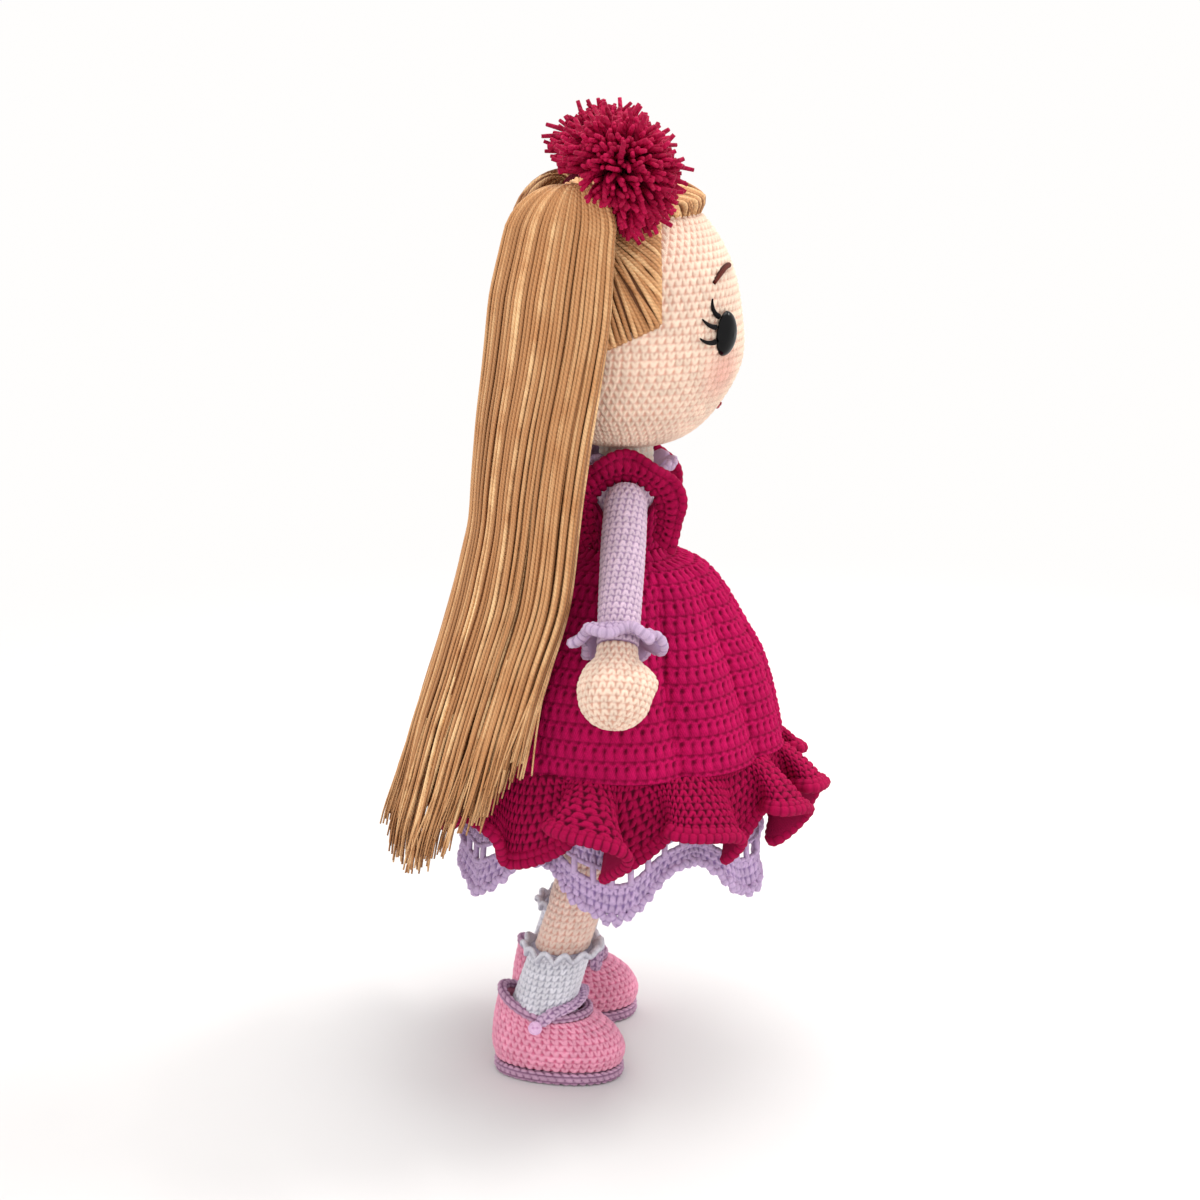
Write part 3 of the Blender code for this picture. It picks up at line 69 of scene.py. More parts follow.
def smoothRead(places, values, at):
    # cubic through a table without overshoot: slopes are harmonic means of the neighbouring secants
    places = np.asarray(places, float)
    values = np.asarray(values, float)
    step = np.diff(places)
    secant = np.diff(values) / step
    slope = np.zeros_like(values)
    both = secant[:-1] * secant[1:]
    safe = np.where(both > 0, secant[:-1] + secant[1:], 1.0)
    slope[1:-1] = np.where(both > 0, 2 * both / safe, 0.0)
    slope[0], slope[-1] = secant[0], secant[-1]
    index = np.clip(np.searchsorted(places, at, side="right") - 1, 0, len(step) - 1)
    t = (at - places[index]) / step[index]
    a, b = values[index], values[index + 1]
    return ((2 * t ** 3 - 3 * t ** 2 + 1) * a + (t ** 3 - 2 * t ** 2 + t) * step[index] * slope[index]
            + (3 * t ** 2 - 2 * t ** 3) * b + (t ** 3 - t ** 2) * step[index] * slope[index + 1])


def tableReader(rows):
    # reads every column of a table at places in its first column
    rows = np.asarray(rows, float)

    def read(at, column):
        return smoothRead(rows[:, 0], rows[:, column], np.clip(at, rows[0, 0], rows[-1, 0]))
    return read


def turnMatrix(axis, angle):
    c, s = math.cos(angle), math.sin(angle)
    if axis == "x":
        return np.array([[1, 0, 0], [0, c, -s], [0, s, c]])
    if axis == "y":
        return np.array([[c, 0, s], [0, 1, 0], [-s, 0, c]])
    return np.array([[c, -s, 0], [s, c, 0], [0, 0, 1]])


def placed(points, rotation, origin):
    return points @ rotation.T + np.asarray(origin)


# Closed shells from grids

def outward(points, groups):
    # the sum of the faces' pyramids is the volume, and a negative one turns every face round
    volume = 0.0
    for faces, uv in groups:
        first = points[faces[:, 0]]
        for step in range(1, faces.shape[1] - 1):
            volume += np.einsum("ij,ij->", first, np.cross(points[faces[:, step]], points[faces[:, step + 1]]))
    if volume < 0:
        groups = [(faces[:, ::-1], uv[:, ::-1]) for faces, uv in groups]
    return groups


def shellOf(points, groups, relief, strand=None):
    points = points.reshape(-1, 3)
    relief = np.broadcast_to(relief, (len(points),)) if np.ndim(relief) == 0 else relief.reshape(-1)
    strand = np.zeros(len(points)) if strand is None else strand.reshape(-1)
    return {"points": points, "groups": outward(points, groups), "relief": relief, "strand": strand}


def joined(shells):
    start = 0
    groups = []
    for shell in shells:
        groups += [(faces + start, uv) for faces, uv in shell["groups"]]
        start += len(shell["points"])
    return {"points": np.concatenate([s["points"] for s in shells]), "groups": groups,
            "relief": np.concatenate([s["relief"] for s in shells]),
            "strand": np.concatenate([s["strand"] for s in shells])}


def plainUv(faces):
    return np.zeros(faces.shape + (2,))


def stitchV(a, b):
    # single crochet: two plump legs of a V, 1 - ((|2a-1| - line(b)) / w)^2, with round ends along b
    a = a - np.floor(a)
    b = b - np.floor(b)
    spread = np.abs(a - 0.5) * 2
    leg = np.clip(1 - ((spread - (0.14 + 0.54 * b)) / 0.48) ** 2, 0, 1) ** 0.55
    ends = np.clip(1 - (2 * b - 1) ** 4, 0, 1) ** 0.7
    return leg * (0.46 + 0.54 * ends)


def stitchTall(a, b):
    # tall stitches: leaning posts, each wrapped once by a slanting yarn, under a row of small slanting tops
    row = np.floor(b)
    b = b - row
    lean = a + 0.20 * b + 0.05 * np.sin(9.0 * a + 5.0 * row)
    x = lean - np.floor(lean) - 0.5
    post = 1 - 0.55 * np.clip(np.abs(x) / 0.5, 0, 1) ** 3
    wrap = b - (0.42 + 0.42 * x)
    post = post * (0.80 + 0.26 * np.exp(-(wrap / 0.10) ** 2) - 0.22 * np.exp(-((wrap - 0.20) / 0.08) ** 2))
    foot = np.exp(-((np.abs(x) - 0.5) / 0.20) ** 2) * np.exp(-((b - 0.10) / 0.14) ** 2)
    under = np.exp(-((b - 0.72) / 0.07) ** 2)
    body = np.clip(post - (0.58 + 0.20 * np.sin(2.3 * a + 4.0 * row)) * foot - 0.34 * under, 0, 1) * np.clip((0.86 - b) / 0.08, 0, 1)
    rise = b + 0.05 * np.sin(2 * math.pi * a)
    top = np.clip(1 - (np.abs(rise - 0.89) / 0.13) ** 2, 0, 1) ** 0.6 * (0.84 + 0.16 * np.cos(4 * math.pi * (a + 0.5 * b)))
    return np.maximum(body, top)


def stitchBraid(a, b):
    # a chained edge: fat slanting lozenges
    slant = a + 0.5 * (b - np.floor(b))
    slant = slant - np.floor(slant)
    b = b - np.floor(b)
    return np.clip(1 - (np.abs(slant - 0.5) / 0.47) ** 2.2, 0, 1) ** 0.6 * np.clip(1 - (2 * b - 1) ** 4, 0, 1) ** 0.6


def crochet(shape, stitch=3.4, row=3.3, depth=0.8, kind=stitchV, perStitch=6, perRow=5, wrapRound=True,
            wrapRows=False, wall=None, facing=None, shift=0.12, raised=0.5):
    # shape(u, v) gives points, u runs across the rows and v along them; rows are evened out by arc length,
    # and point + normal * depth * (relief - raised) lifts the stitches; sizes in millimetres
    uFine = np.linspace(0, 1, 241)
    vFine = np.linspace(0, 1, 121)
    coarse = shape(uFine[:, None], vFine[None, :])
    steps = np.linalg.norm(np.diff(coarse, axis=0), axis=-1).mean(axis=1)
    along = np.concatenate([[0.0], np.cumsum(steps)])
    rounds = np.linalg.norm(np.diff(coarse, axis=1), axis=-1).sum(axis=1)
    rows = max(1, int(round(along[-1] / (row * mm))))
    columns = max(5, int(round(rounds.max() / (stitch * mm)))) * perStitch
    rowPlace = np.arange(rows * perRow + (0 if wrapRows else 1)) / perRow
    u = np.interp(rowPlace / rows * along[-1], along, uFine)
    v = np.arange(columns + (0 if wrapRound else 1)) / columns
    base = shape(u[:, None], v[None, :])
    epsilon = 1e-4
    vAhead = shape(u[:, None], v[None, :] + epsilon) - shape(u[:, None], v[None, :] - epsilon)
    uLow = np.clip(u - epsilon, 0, 1) if not wrapRows else u - epsilon
    uHigh = np.clip(u + epsilon, 0, 1) if not wrapRows else u + epsilon
    uAhead = shape(uHigh[:, None], v[None, :]) - shape(uLow[:, None], v[None, :])
    normal = unit(np.cross(vAhead, uAhead))
    if facing is not None:
        away = np.broadcast_to(np.asarray(facing, float), normal.shape)
    elif wrapRows:
        away = base - base.mean(axis=0, keepdims=True)
    else:
        away = base - base.mean(axis=1, keepdims=True)
    if np.einsum("ijk,ijk->", normal, away) < 0:
        normal = -normal
    rowCounts = np.interp((np.arange(rows) + 0.5) / rows * along[-1], along, rounds) / (stitch * mm)
    rowCounts = np.maximum(4, np.round(rowCounts))
    rowIndex = np.minimum(np.arange(len(rowPlace)) // perRow, rows - 1)
    across = v[None, :] * rowCounts[rowIndex][:, None] + shift * rowIndex[:, None]
    relief = kind(across, np.broadcast_to(rowPlace[:, None], across.shape))
    if not wrapRows:
        relief = np.where(np.arange(len(rowPlace))[:, None] == len(rowPlace) - 1, 0.0, relief)
    points = base + normal * (depth * mm) * (relief - raised)[..., None]
    rowTotal, columnTotal = relief.shape
    index = np.arange(rowTotal * columnTotal).reshape(rowTotal, columnTotal)
    low = index if wrapRows else index[:-1]
    high = np.roll(index, -1, axis=0) if wrapRows else index[1:]
    if wrapRound:
        quads = np.stack([low, np.roll(low, -1, axis=1), np.roll(high, -1, axis=1), high], axis=-1)
    else:
        quads = np.stack([low[:, :-1], low[:, 1:], high[:, 1:], high[:, :-1]], axis=-1)
    quadRow = np.arange(quads.shape[0])
    rowOf = np.minimum(quadRow // perRow, rows - 1)
    left = np.arange(quads.shape[1])[None, :] / columns * rowCounts[rowOf][:, None] + shift * rowOf[:, None]
    right = left + rowCounts[rowOf][:, None] / columns
    bottom = np.broadcast_to((quadRow / perRow)[:, None], left.shape)
    top = bottom + 1 / perRow
    uv = np.stack([np.stack([left, bottom], -1), np.stack([right, bottom], -1), np.stack([right, top], -1),
                   np.stack([left, top], -1)], axis=-2)
    groups = [(quads.reshape(-1, 4), uv.reshape(-1, 4, 2))]
    flat = points.reshape(-1, 3)
    # the relief also sets the painted shade: low parts of the stitches take the painted shade colour
    shade = relief.reshape(-1)
    if wall is None:
        if not wrapRows:
            for row_, order in ((index[0], 1), (index[-1], -1)):
                centre = len(flat)
                flat = np.concatenate([flat, points.reshape(-1, 3)[row_].mean(axis=0, keepdims=True)])
                # the centre point gets relief 0.4, partly painted shade
                shade = np.concatenate([shade, [0.4]])
                ring = row_[::-order]
                fan = np.stack([ring, np.roll(ring, -1), np.full_like(ring, centre)], axis=-1)
                groups.append((fan, plainUv(fan)))
        return shellOf(flat, groups, shade)
    # a lining one wall inside, with a point for each stitch and row, sewn to the outside at every edge
    inner = (base - normal * (wall * mm))[::perRow, ::perStitch]
    innerIndex = len(flat) + np.arange(inner.shape[0] * inner.shape[1]).reshape(inner.shape[:2])
    flat = np.concatenate([flat, inner.reshape(-1, 3)])
    # painted shade: the lining gets relief 0.35, mostly the painted shade colour
    shade = np.concatenate([shade, np.full(inner.shape[0] * inner.shape[1], 0.35)])
    lowIn, highIn = innerIndex[:-1], innerIndex[1:]
    if wrapRound:
        lining = np.stack([lowIn, highIn, np.roll(highIn, -1, axis=1), np.roll(lowIn, -1, axis=1)], axis=-1)
    else:
        lining = np.stack([lowIn[:, :-1], highIn[:, :-1], highIn[:, 1:], lowIn[:, 1:]], axis=-1)
    liningUv = np.broadcast_to(np.array([[0, 0], [0, 1], [1, 1], [1, 0]], float), lining.shape + (2,))
    groups.append((lining.reshape(-1, 4), liningUv.reshape(-1, 4, 2)))
    for edge, innerEdge, order in ((index[0], innerIndex[0], 1), (index[-1], innerIndex[-1], -1)):
        groups.append(seamFaces(edge, innerEdge, perStitch, wrapRound, order))
    if not wrapRound:
        groups.append(seamFaces(index[:, 0], innerIndex[:, 0], perRow, False, -1))
        groups.append(seamFaces(index[:, -1], innerIndex[:, -1], perRow, False, 1))
    return shellOf(flat, groups, shade)


def seamFaces(edge, innerEdge, step, wrap, order):
    # one face from each stretch of the fine edge to the lining's matching edge
    count = len(innerEdge) if wrap else len(innerEdge) - 1
    start = np.arange(count)[:, None] * step
    fine = edge[(start + np.arange(step + 1)[None, :]) % len(edge)] if wrap else edge[start + np.arange(step + 1)[None, :]]
    near = innerEdge[np.arange(count)][:, None]
    far = innerEdge[(np.arange(count) + 1) % len(innerEdge)][:, None]
    faces = np.concatenate([fine[:, ::-1], near, far], axis=1)
    if order < 0:
        faces = faces[:, ::-1]
    return faces, plainUv(faces)


def strands(paths, radius, sidesCount=6, hint=(0, 0, 1), tone=None, relief=None):
    # round tubes along N paths of K points: ring = point + radius * (side cos t + second sin t)
    paths = np.asarray(paths, float)
    number, length = paths.shape[:2]
    radius = np.broadcast_to(np.asarray(radius, float), (number, length))
    tangent = unit(np.gradient(paths, axis=1))
    hint = np.broadcast_to(np.asarray(hint, float), paths.shape)
    side = unit(hint - tangent * np.einsum("ijk,ijk->ij", hint, tangent)[..., None])
    second = np.cross(tangent, side)
    turn = np.arange(sidesCount) / sidesCount * 2 * math.pi
    ring = side[:, :, None, :] * np.cos(turn)[None, None, :, None] + second[:, :, None, :] * np.sin(turn)[None, None, :, None]
    points = paths[:, :, None, :] + ring * radius[:, :, None, None]
    index = np.arange(number * length * sidesCount).reshape(number, length, sidesCount)
    low, high = index[:, :-1], index[:, 1:]
    quads = np.stack([low, np.roll(low, -1, axis=2), np.roll(high, -1, axis=2), high], axis=-1)
    run = np.concatenate([np.zeros((number, 1)), np.cumsum(np.linalg.norm(np.diff(paths, axis=1), axis=-1), axis=1)], axis=1)
    run = run / mm
    shape = quads.shape[:3]
    left = np.broadcast_to((np.arange(sidesCount) / sidesCount)[None, None, :], shape)
    bottom = np.broadcast_to(run[:, :-1, None], shape)
    top = np.broadcast_to(run[:, 1:, None], shape)
    right = left + 1 / sidesCount
    uv = np.stack([np.stack([left, bottom], -1), np.stack([right, bottom], -1), np.stack([right, top], -1),
                   np.stack([left, top], -1)], axis=-2)
    caps = np.concatenate([index[:, 0, ::-1], index[:, -1]])
    groups = [(quads.reshape(-1, 4), uv.reshape(-1, 4, 2)), (caps, plainUv(caps))]
    tone = rng.random(number) if tone is None else tone
    toneAll = np.broadcast_to(tone[:, None, None], index.shape)
    if relief is None:
        # painted shade: without a given relief, each strand is darker on the side away from its hint
        relief = 0.5 + 0.5 * np.cos(turn)
        relief = np.broadcast_to(relief[None, None, :], index.shape)
    else:
        relief = np.broadcast_to(relief[:, :, None], index.shape)
    return shellOf(points, groups, relief.reshape(-1), toneAll.reshape(-1))


def stitchedCord(path, radius, pitch, hint=(0, 0, 1), sidesCount=7):
    # a chained edge along a path: radius r (0.76 + 0.24 bump), bump = |sin(pi s / pitch)|^0.6 over the run s
    step = np.linalg.norm(np.diff(path, axis=0), axis=1)
    run = np.concatenate([[0.0], np.cumsum(step)])
    places = np.linspace(0, run[-1], max(12, int(run[-1] / (pitch * mm) * 5)))
    even = np.stack([np.interp(places, run, path[:, axis]) for axis in range(3)], axis=-1)
    bump = np.abs(np.sin(math.pi * places / (pitch * mm))) ** 0.6
    thick = radius * mm * (0.76 + 0.24 * bump)
    # painted shade: relief 0.12 + 0.88 bump darkens the dips between the beads
    return strands(even[None], thick[None], sidesCount, hint=hint, relief=(0.12 + 0.88 * bump)[None])


pieceCount = []


def makePiece(name, shell, material, body, nodes):
    # the shell's arrays go straight into one mesh, with the stitch places as UV and two attributes
    points, groups = shell["points"], shell["groups"]
    mesh = bpy.data.meshes.new(name)
    mesh.vertices.add(len(points))
    mesh.vertices.foreach_set("co", points.astype(np.float32).ravel())
    loopTotal = np.concatenate([np.full(len(faces), faces.shape[1]) for faces, uv in groups])
    corners = np.concatenate([faces.ravel() for faces, uv in groups])
    uvs = np.concatenate([uv.reshape(-1, 2) for faces, uv in groups])
    mesh.loops.add(len(corners))
    mesh.loops.foreach_set("vertex_index", corners.astype(np.int32))
    mesh.polygons.add(len(loopTotal))
    starts = np.concatenate([[0], np.cumsum(loopTotal)[:-1]])
    mesh.polygons.foreach_set("loop_start", starts.astype(np.int32))
    mesh.polygons.foreach_set("loop_total", loopTotal.astype(np.int32))
    mesh.polygons.foreach_set("use_smooth", np.ones(len(loopTotal), bool))
    layer = mesh.uv_layers.new(name="UVMap")
    layer.data.foreach_set("uv", uvs.astype(np.float32).ravel())
    # relief also sets the painted shade in the yarn materials; strand sets each strand's random tone and which strands
    # get the painted highlight
    for label in ("relief", "strand"):
        attribute = mesh.attributes.new(label, "FLOAT", "POINT")
        attribute.data.foreach_set("value", shell[label].astype(np.float32))
    mesh.update(calc_edges=True)
    mesh.validate()
    mesh.materials.append(material)
    piece = bpy.data.objects.new(name, mesh)
    bpy.context.scene.collection.objects.link(piece)
    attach(piece, body)
    if nodes:
        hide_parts(*nodes)
    pieceCount.append((name, int((loopTotal - 2).sum())))
    return piece


def declareSheet(shape):
    # samples the shape on an 81 by 1601 grid; nothing is computed from it or returned
    u = np.linspace(0, 1, 81)
    v = np.linspace(0, 1, 1601)
    grid = shape(u[:, None], v[None, :])


# Materials

def socketed(name, inputs, outputs):
    # a shared shader group with its named sockets
    tree = bpy.data.node_groups.new(name, "ShaderNodeTree")
    for label, kind, value in inputs:
        made = tree.interface.new_socket(name=label, in_out="INPUT", socket_type=kind)
        if value is not None:
            made.default_value = value
    for label, kind in outputs:
        tree.interface.new_socket(name=label, in_out="OUTPUT", socket_type=kind)
    return tree, tree.nodes.new("NodeGroupInput"), tree.nodes.new("NodeGroupOutput")


def maths(tree, operation, first, second=None, clamp=False):
    node = tree.nodes.new("ShaderNodeMath")
    node.operation = operation
    node.use_clamp = clamp
    for place, value in enumerate((first, second)):
        if value is None:
            continue
        if isinstance(value, (int, float)):
            node.inputs[place].default_value = value
        else:
            tree.links.new(value, node.inputs[place])
    return node.outputs[0]


def mixed(tree, factor, low, high, blend="MIX"):
    node = tree.nodes.new("ShaderNodeMix")
    node.data_type = "RGBA"
    node.blend_type = blend
    for socket, value in ((node.inputs["Factor"], factor), (node.inputs[6], low), (node.inputs[7], high)):
        if isinstance(value, (int, float)):
            socket.default_value = value
        elif isinstance(value, tuple):
            socket.default_value = (*value, 1.0)
        else:
            tree.links.new(value, socket)
    return node.outputs[2]


def noise(tree, vector, scale, detail=2.0, roughness=0.6):
    node = tree.nodes.new("ShaderNodeTexNoise")
    node.inputs["Scale"].default_value = scale
    node.inputs["Detail"].default_value = detail
    node.inputs["Roughness"].default_value = roughness
    tree.links.new(vector, node.inputs["Vector"])
    return node.outputs["Fac"]


def stretched(tree, value, low, high, toLow=0.0, toHigh=1.0):
    node = tree.nodes.new("ShaderNodeMapRange")
    for place, number in enumerate((low, high, toLow, toHigh)):
        node.inputs[place + 1].default_value = number
    tree.links.new(value, node.inputs[0])
    return node.outputs[0]


# Crochet: a painted shade colour in the low parts of the stitches, yarn colour on their tops, a tone for each stitch,
# and the plies' fine twist
crochetLook, lookIn, lookOut = socketed(
    "crochetLook",
    (("Stitch", "NodeSocketVector", None), ("Place", "NodeSocketVector", None), ("Relief", "NodeSocketFloat", 0.5),
     ("Yarn", "NodeSocketColor", None), ("PaintedShade", "NodeSocketColor", None), ("Plies", "NodeSocketFloat", 3.0)),
    (("Colour", "NodeSocketColor"), ("Roughness", "NodeSocketFloat"), ("Height", "NodeSocketFloat")))
splitNode = crochetLook.nodes.new("ShaderNodeSeparateXYZ")
crochetLook.links.new(lookIn.outputs["Stitch"], splitNode.inputs[0])
acrossPart = maths(crochetLook, "FRACT", splitNode.outputs[0])
alongPart = maths(crochetLook, "FRACT", splitNode.outputs[1])
spreadPart = maths(crochetLook, "ABSOLUTE", maths(crochetLook, "SUBTRACT", acrossPart, 0.5))
twist = maths(crochetLook, "ADD", maths(crochetLook, "MULTIPLY", spreadPart, 1.6),
              maths(crochetLook, "MULTIPLY", alongPart, 1.1))
plyWave = maths(crochetLook, "SINE", maths(crochetLook, "MULTIPLY", maths(
    crochetLook, "MULTIPLY", twist, lookIn.outputs["Plies"]), 2 * math.pi))
plyHeight = maths(crochetLook, "MULTIPLY_ADD", plyWave, 0.5)
plyHeight.node.inputs[2].default_value = 0.5
whole = crochetLook.nodes.new("ShaderNodeVectorMath")
whole.operation = "FLOOR"
crochetLook.links.new(lookIn.outputs["Stitch"], whole.inputs[0])
stitchTone = crochetLook.nodes.new("ShaderNodeTexWhiteNoise")
crochetLook.links.new(whole.outputs[0], stitchTone.inputs["Vector"])
fibre = noise(crochetLook, lookIn.outputs["Place"], 2600.0, 3.0, 0.7)
patch = noise(crochetLook, lookIn.outputs["Place"], 38.0, 2.0, 0.5)
# painted shade: relief near 0 (the stitches' low parts) takes the painted shade colour, relief 0.75 and up the yarn
# colour
paintedShadeByRelief = stretched(crochetLook, lookIn.outputs["Relief"], 0.05, 0.75)
base = mixed(crochetLook, paintedShadeByRelief, lookIn.outputs["PaintedShade"], lookIn.outputs["Yarn"])
toneLevel = stretched(crochetLook, stitchTone.outputs["Value"], 0.0, 1.0, 0.90, 1.06)
toneLevel = maths(crochetLook, "MULTIPLY", toneLevel, stretched(crochetLook, fibre, 0.25, 0.75, 0.86, 1.12))
toneLevel = maths(crochetLook, "MULTIPLY", toneLevel, stretched(crochetLook, patch, 0.25, 0.75, 0.93, 1.05))
# painted shade: the plies' grooves are painted a little darker
toneLevel = maths(crochetLook, "MULTIPLY", toneLevel, stretched(crochetLook, plyHeight, 0.0, 1.0, 0.89, 1.06))
grey = crochetLook.nodes.new("ShaderNodeCombineColor")
for channel in range(3):
    crochetLook.links.new(toneLevel, grey.inputs[channel])
crochetLook.links.new(mixed(crochetLook, 1.0, base, grey.outputs[0], "MULTIPLY"), lookOut.inputs["Colour"])
crochetLook.links.new(stretched(crochetLook, fibre, 0.0, 1.0, 0.78, 0.95), lookOut.inputs["Roughness"])
crochetLook.links.new(maths(crochetLook, "ADD", maths(crochetLook, "MULTIPLY", plyHeight, 0.6),
                            maths(crochetLook, "MULTIPLY", fibre, 0.6)), lookOut.inputs["Height"])

# Loose strands: twisted plies as slanting stripes round the yarn, a tone for each strand, painted shade on the
# low-relief side and in the hollows, and a painted highlight on some strands
strandLook, lookIn, lookOut = socketed(
    "strandLook",
    (("Stitch", "NodeSocketVector", None), ("Place", "NodeSocketVector", None), ("Relief", "NodeSocketFloat", 0.5),
     ("Strand", "NodeSocketFloat", 0.5), ("Yarn", "NodeSocketColor", None), ("PaintedShade", "NodeSocketColor", None),
     ("PaintedHighlight", "NodeSocketColor", None), ("Pitch", "NodeSocketFloat", 3.0)),
    (("Colour", "NodeSocketColor"), ("Roughness", "NodeSocketFloat"), ("Height", "NodeSocketFloat")))
splitNode = strandLook.nodes.new("ShaderNodeSeparateXYZ")
strandLook.links.new(lookIn.outputs["Stitch"], splitNode.inputs[0])
stripe = maths(strandLook, "ADD", maths(strandLook, "MULTIPLY", splitNode.outputs[0], 2.0),
               maths(strandLook, "DIVIDE", splitNode.outputs[1], lookIn.outputs["Pitch"]))
stripe = maths(strandLook, "ADD", stripe, maths(strandLook, "MULTIPLY", lookIn.outputs["Strand"], 37.0))
stripe = maths(strandLook, "SINE", maths(strandLook, "MULTIPLY", stripe, 2 * math.pi))
plyHeight = maths(strandLook, "MULTIPLY_ADD", stripe, 0.5)
plyHeight.node.inputs[2].default_value = 0.5
fibre = noise(strandLook, lookIn.outputs["Place"], 2400.0, 3.0, 0.7)
wander = noise(strandLook, lookIn.outputs["Place"], 60.0, 3.0, 0.6)
# painted highlight: the brighter-toned strands take a lighter colour in patches of slow noise
paintedHighlightMask = maths(strandLook, "MULTIPLY", stretched(strandLook, lookIn.outputs["Strand"], 0.45, 1.0), stretched(strandLook, wander, 0.34, 0.62), True)
# painted shade: strand sides and hollows with low relief take the painted shade colour
base = mixed(strandLook, stretched(strandLook, lookIn.outputs["Relief"], 0.42, 0.98), lookIn.outputs["PaintedShade"],
             lookIn.outputs["Yarn"])
base = mixed(strandLook, paintedHighlightMask, base, lookIn.outputs["PaintedHighlight"])
toneLevel = stretched(strandLook, lookIn.outputs["Strand"], 0.0, 1.0, 0.82, 1.10)
# painted shade: the plies' grooves are painted a little darker
toneLevel = maths(strandLook, "MULTIPLY", toneLevel, stretched(strandLook, plyHeight, 0.0, 1.0, 0.88, 1.06))
toneLevel = maths(strandLook, "MULTIPLY", toneLevel, stretched(strandLook, fibre, 0.25, 0.75, 0.86, 1.12))
grey = strandLook.nodes.new("ShaderNodeCombineColor")
for channel in range(3):
    strandLook.links.new(toneLevel, grey.inputs[channel])
strandLook.links.new(mixed(strandLook, 1.0, base, grey.outputs[0], "MULTIPLY"), lookOut.inputs["Colour"])
strandLook.links.new(stretched(strandLook, fibre, 0.0, 1.0, 0.44, 0.70), lookOut.inputs["Roughness"])
strandLook.links.new(maths(strandLook, "ADD", maths(strandLook, "MULTIPLY", plyHeight, 1.0),
                           maths(strandLook, "MULTIPLY", fibre, 0.35)), lookOut.inputs["Height"])


def linear(red, green, blue):
    # photographed 0-255 colour to linear light
    values = np.array([red, green, blue]) / 255
    return tuple(float(x) for x in np.where(values <= 0.04045, values / 12.92, ((values + 0.055) / 1.055) ** 2.4))


def freshMaterial(name):
    surface = bpy.data.materials.new(name)
    surface.use_nodes = True
    return surface, surface.node_tree, surface.node_tree.nodes["Principled BSDF"]


def surfaceInputs(tree, group):
    # the piece's own stitch places, attributes and object coordinates
    uvNode = tree.nodes.new("ShaderNodeUVMap")
    uvNode.uv_map = "UVMap"
    place = tree.nodes.new("ShaderNodeTexCoord")
    tree.links.new(uvNode.outputs[0], group.inputs["Stitch"])
    tree.links.new(place.outputs["Object"], group.inputs["Place"])
    for label, socket in (("relief", "Relief"), ("strand", "Strand")):
        if socket in group.inputs:
            node = tree.nodes.new("ShaderNodeAttribute")
            node.attribute_name = label
            tree.links.new(node.outputs["Fac"], group.inputs[socket])
    return place


def yarnSurface(name, yarn, paintedShade, plies=3.0, sheen=0.22, bump=0.6, tint=None, spots=(), gloss=0.2):
    surface, tree, shader = freshMaterial(name)
    group = tree.nodes.new("ShaderNodeGroup")
    group.node_tree = crochetLook
    place = surfaceInputs(tree, group)
    group.inputs["Plies"].default_value = plies
    group.inputs["PaintedShade"].default_value = (*paintedShade, 1.0)
    colour = yarn
    for spot, size, blush in spots:
        distance = tree.nodes.new("ShaderNodeVectorMath")
        distance.operation = "DISTANCE"
        tree.links.new(place.outputs["Object"], distance.inputs[0])
        distance.inputs[1].default_value = spot
        mask = stretched(tree, distance.outputs["Value"], size * 0.25, size, 0.62, 0.0)
        colour = mixed(tree, mask, colour, blush)
    if isinstance(colour, tuple):
        group.inputs["Yarn"].default_value = (*colour, 1.0)
    else:
        tree.links.new(colour, group.inputs["Yarn"])
    bumpNode = tree.nodes.new("ShaderNodeBump")
    bumpNode.inputs["Strength"].default_value = bump
    bumpNode.inputs["Distance"].default_value = 0.0003
    tree.links.new(group.outputs["Colour"], shader.inputs["Base Color"])
    tree.links.new(group.outputs["Roughness"], shader.inputs["Roughness"])
    tree.links.new(group.outputs["Height"], bumpNode.inputs["Height"])
    tree.links.new(bumpNode.outputs[0], shader.inputs["Normal"])
    shader.inputs["Sheen Weight"].default_value = sheen
    shader.inputs["Sheen Roughness"].default_value = 0.5
    shader.inputs["Sheen Tint"].default_value = (*(tint or yarn), 1.0)
    shader.inputs["Specular IOR Level"].default_value = gloss
    return surface


def strandSurface(name, yarn, paintedShade, highlightColour, pitch=3.0, sheen=0.1, bump=0.5, gloss=0.4):
    surface, tree, shader = freshMaterial(name)
    group = tree.nodes.new("ShaderNodeGroup")
    group.node_tree = strandLook
    surfaceInputs(tree, group)
    group.inputs["Pitch"].default_value = pitch
    group.inputs["Yarn"].default_value = (*yarn, 1.0)
    group.inputs["PaintedShade"].default_value = (*paintedShade, 1.0)
    group.inputs["PaintedHighlight"].default_value = (*highlightColour, 1.0)
    bumpNode = tree.nodes.new("ShaderNodeBump")
    bumpNode.inputs["Strength"].default_value = bump
    bumpNode.inputs["Distance"].default_value = 0.0004
    tree.links.new(group.outputs["Colour"], shader.inputs["Base Color"])
    tree.links.new(group.outputs["Roughness"], shader.inputs["Roughness"])
    tree.links.new(group.outputs["Height"], bumpNode.inputs["Height"])
    tree.links.new(bumpNode.outputs[0], shader.inputs["Normal"])
    shader.inputs["Sheen Weight"].default_value = sheen
    shader.inputs["Sheen Roughness"].default_value = 0.5
    shader.inputs["Sheen Tint"].default_value = (*highlightColour, 1.0)
    shader.inputs["Specular IOR Level"].default_value = gloss
    return surface


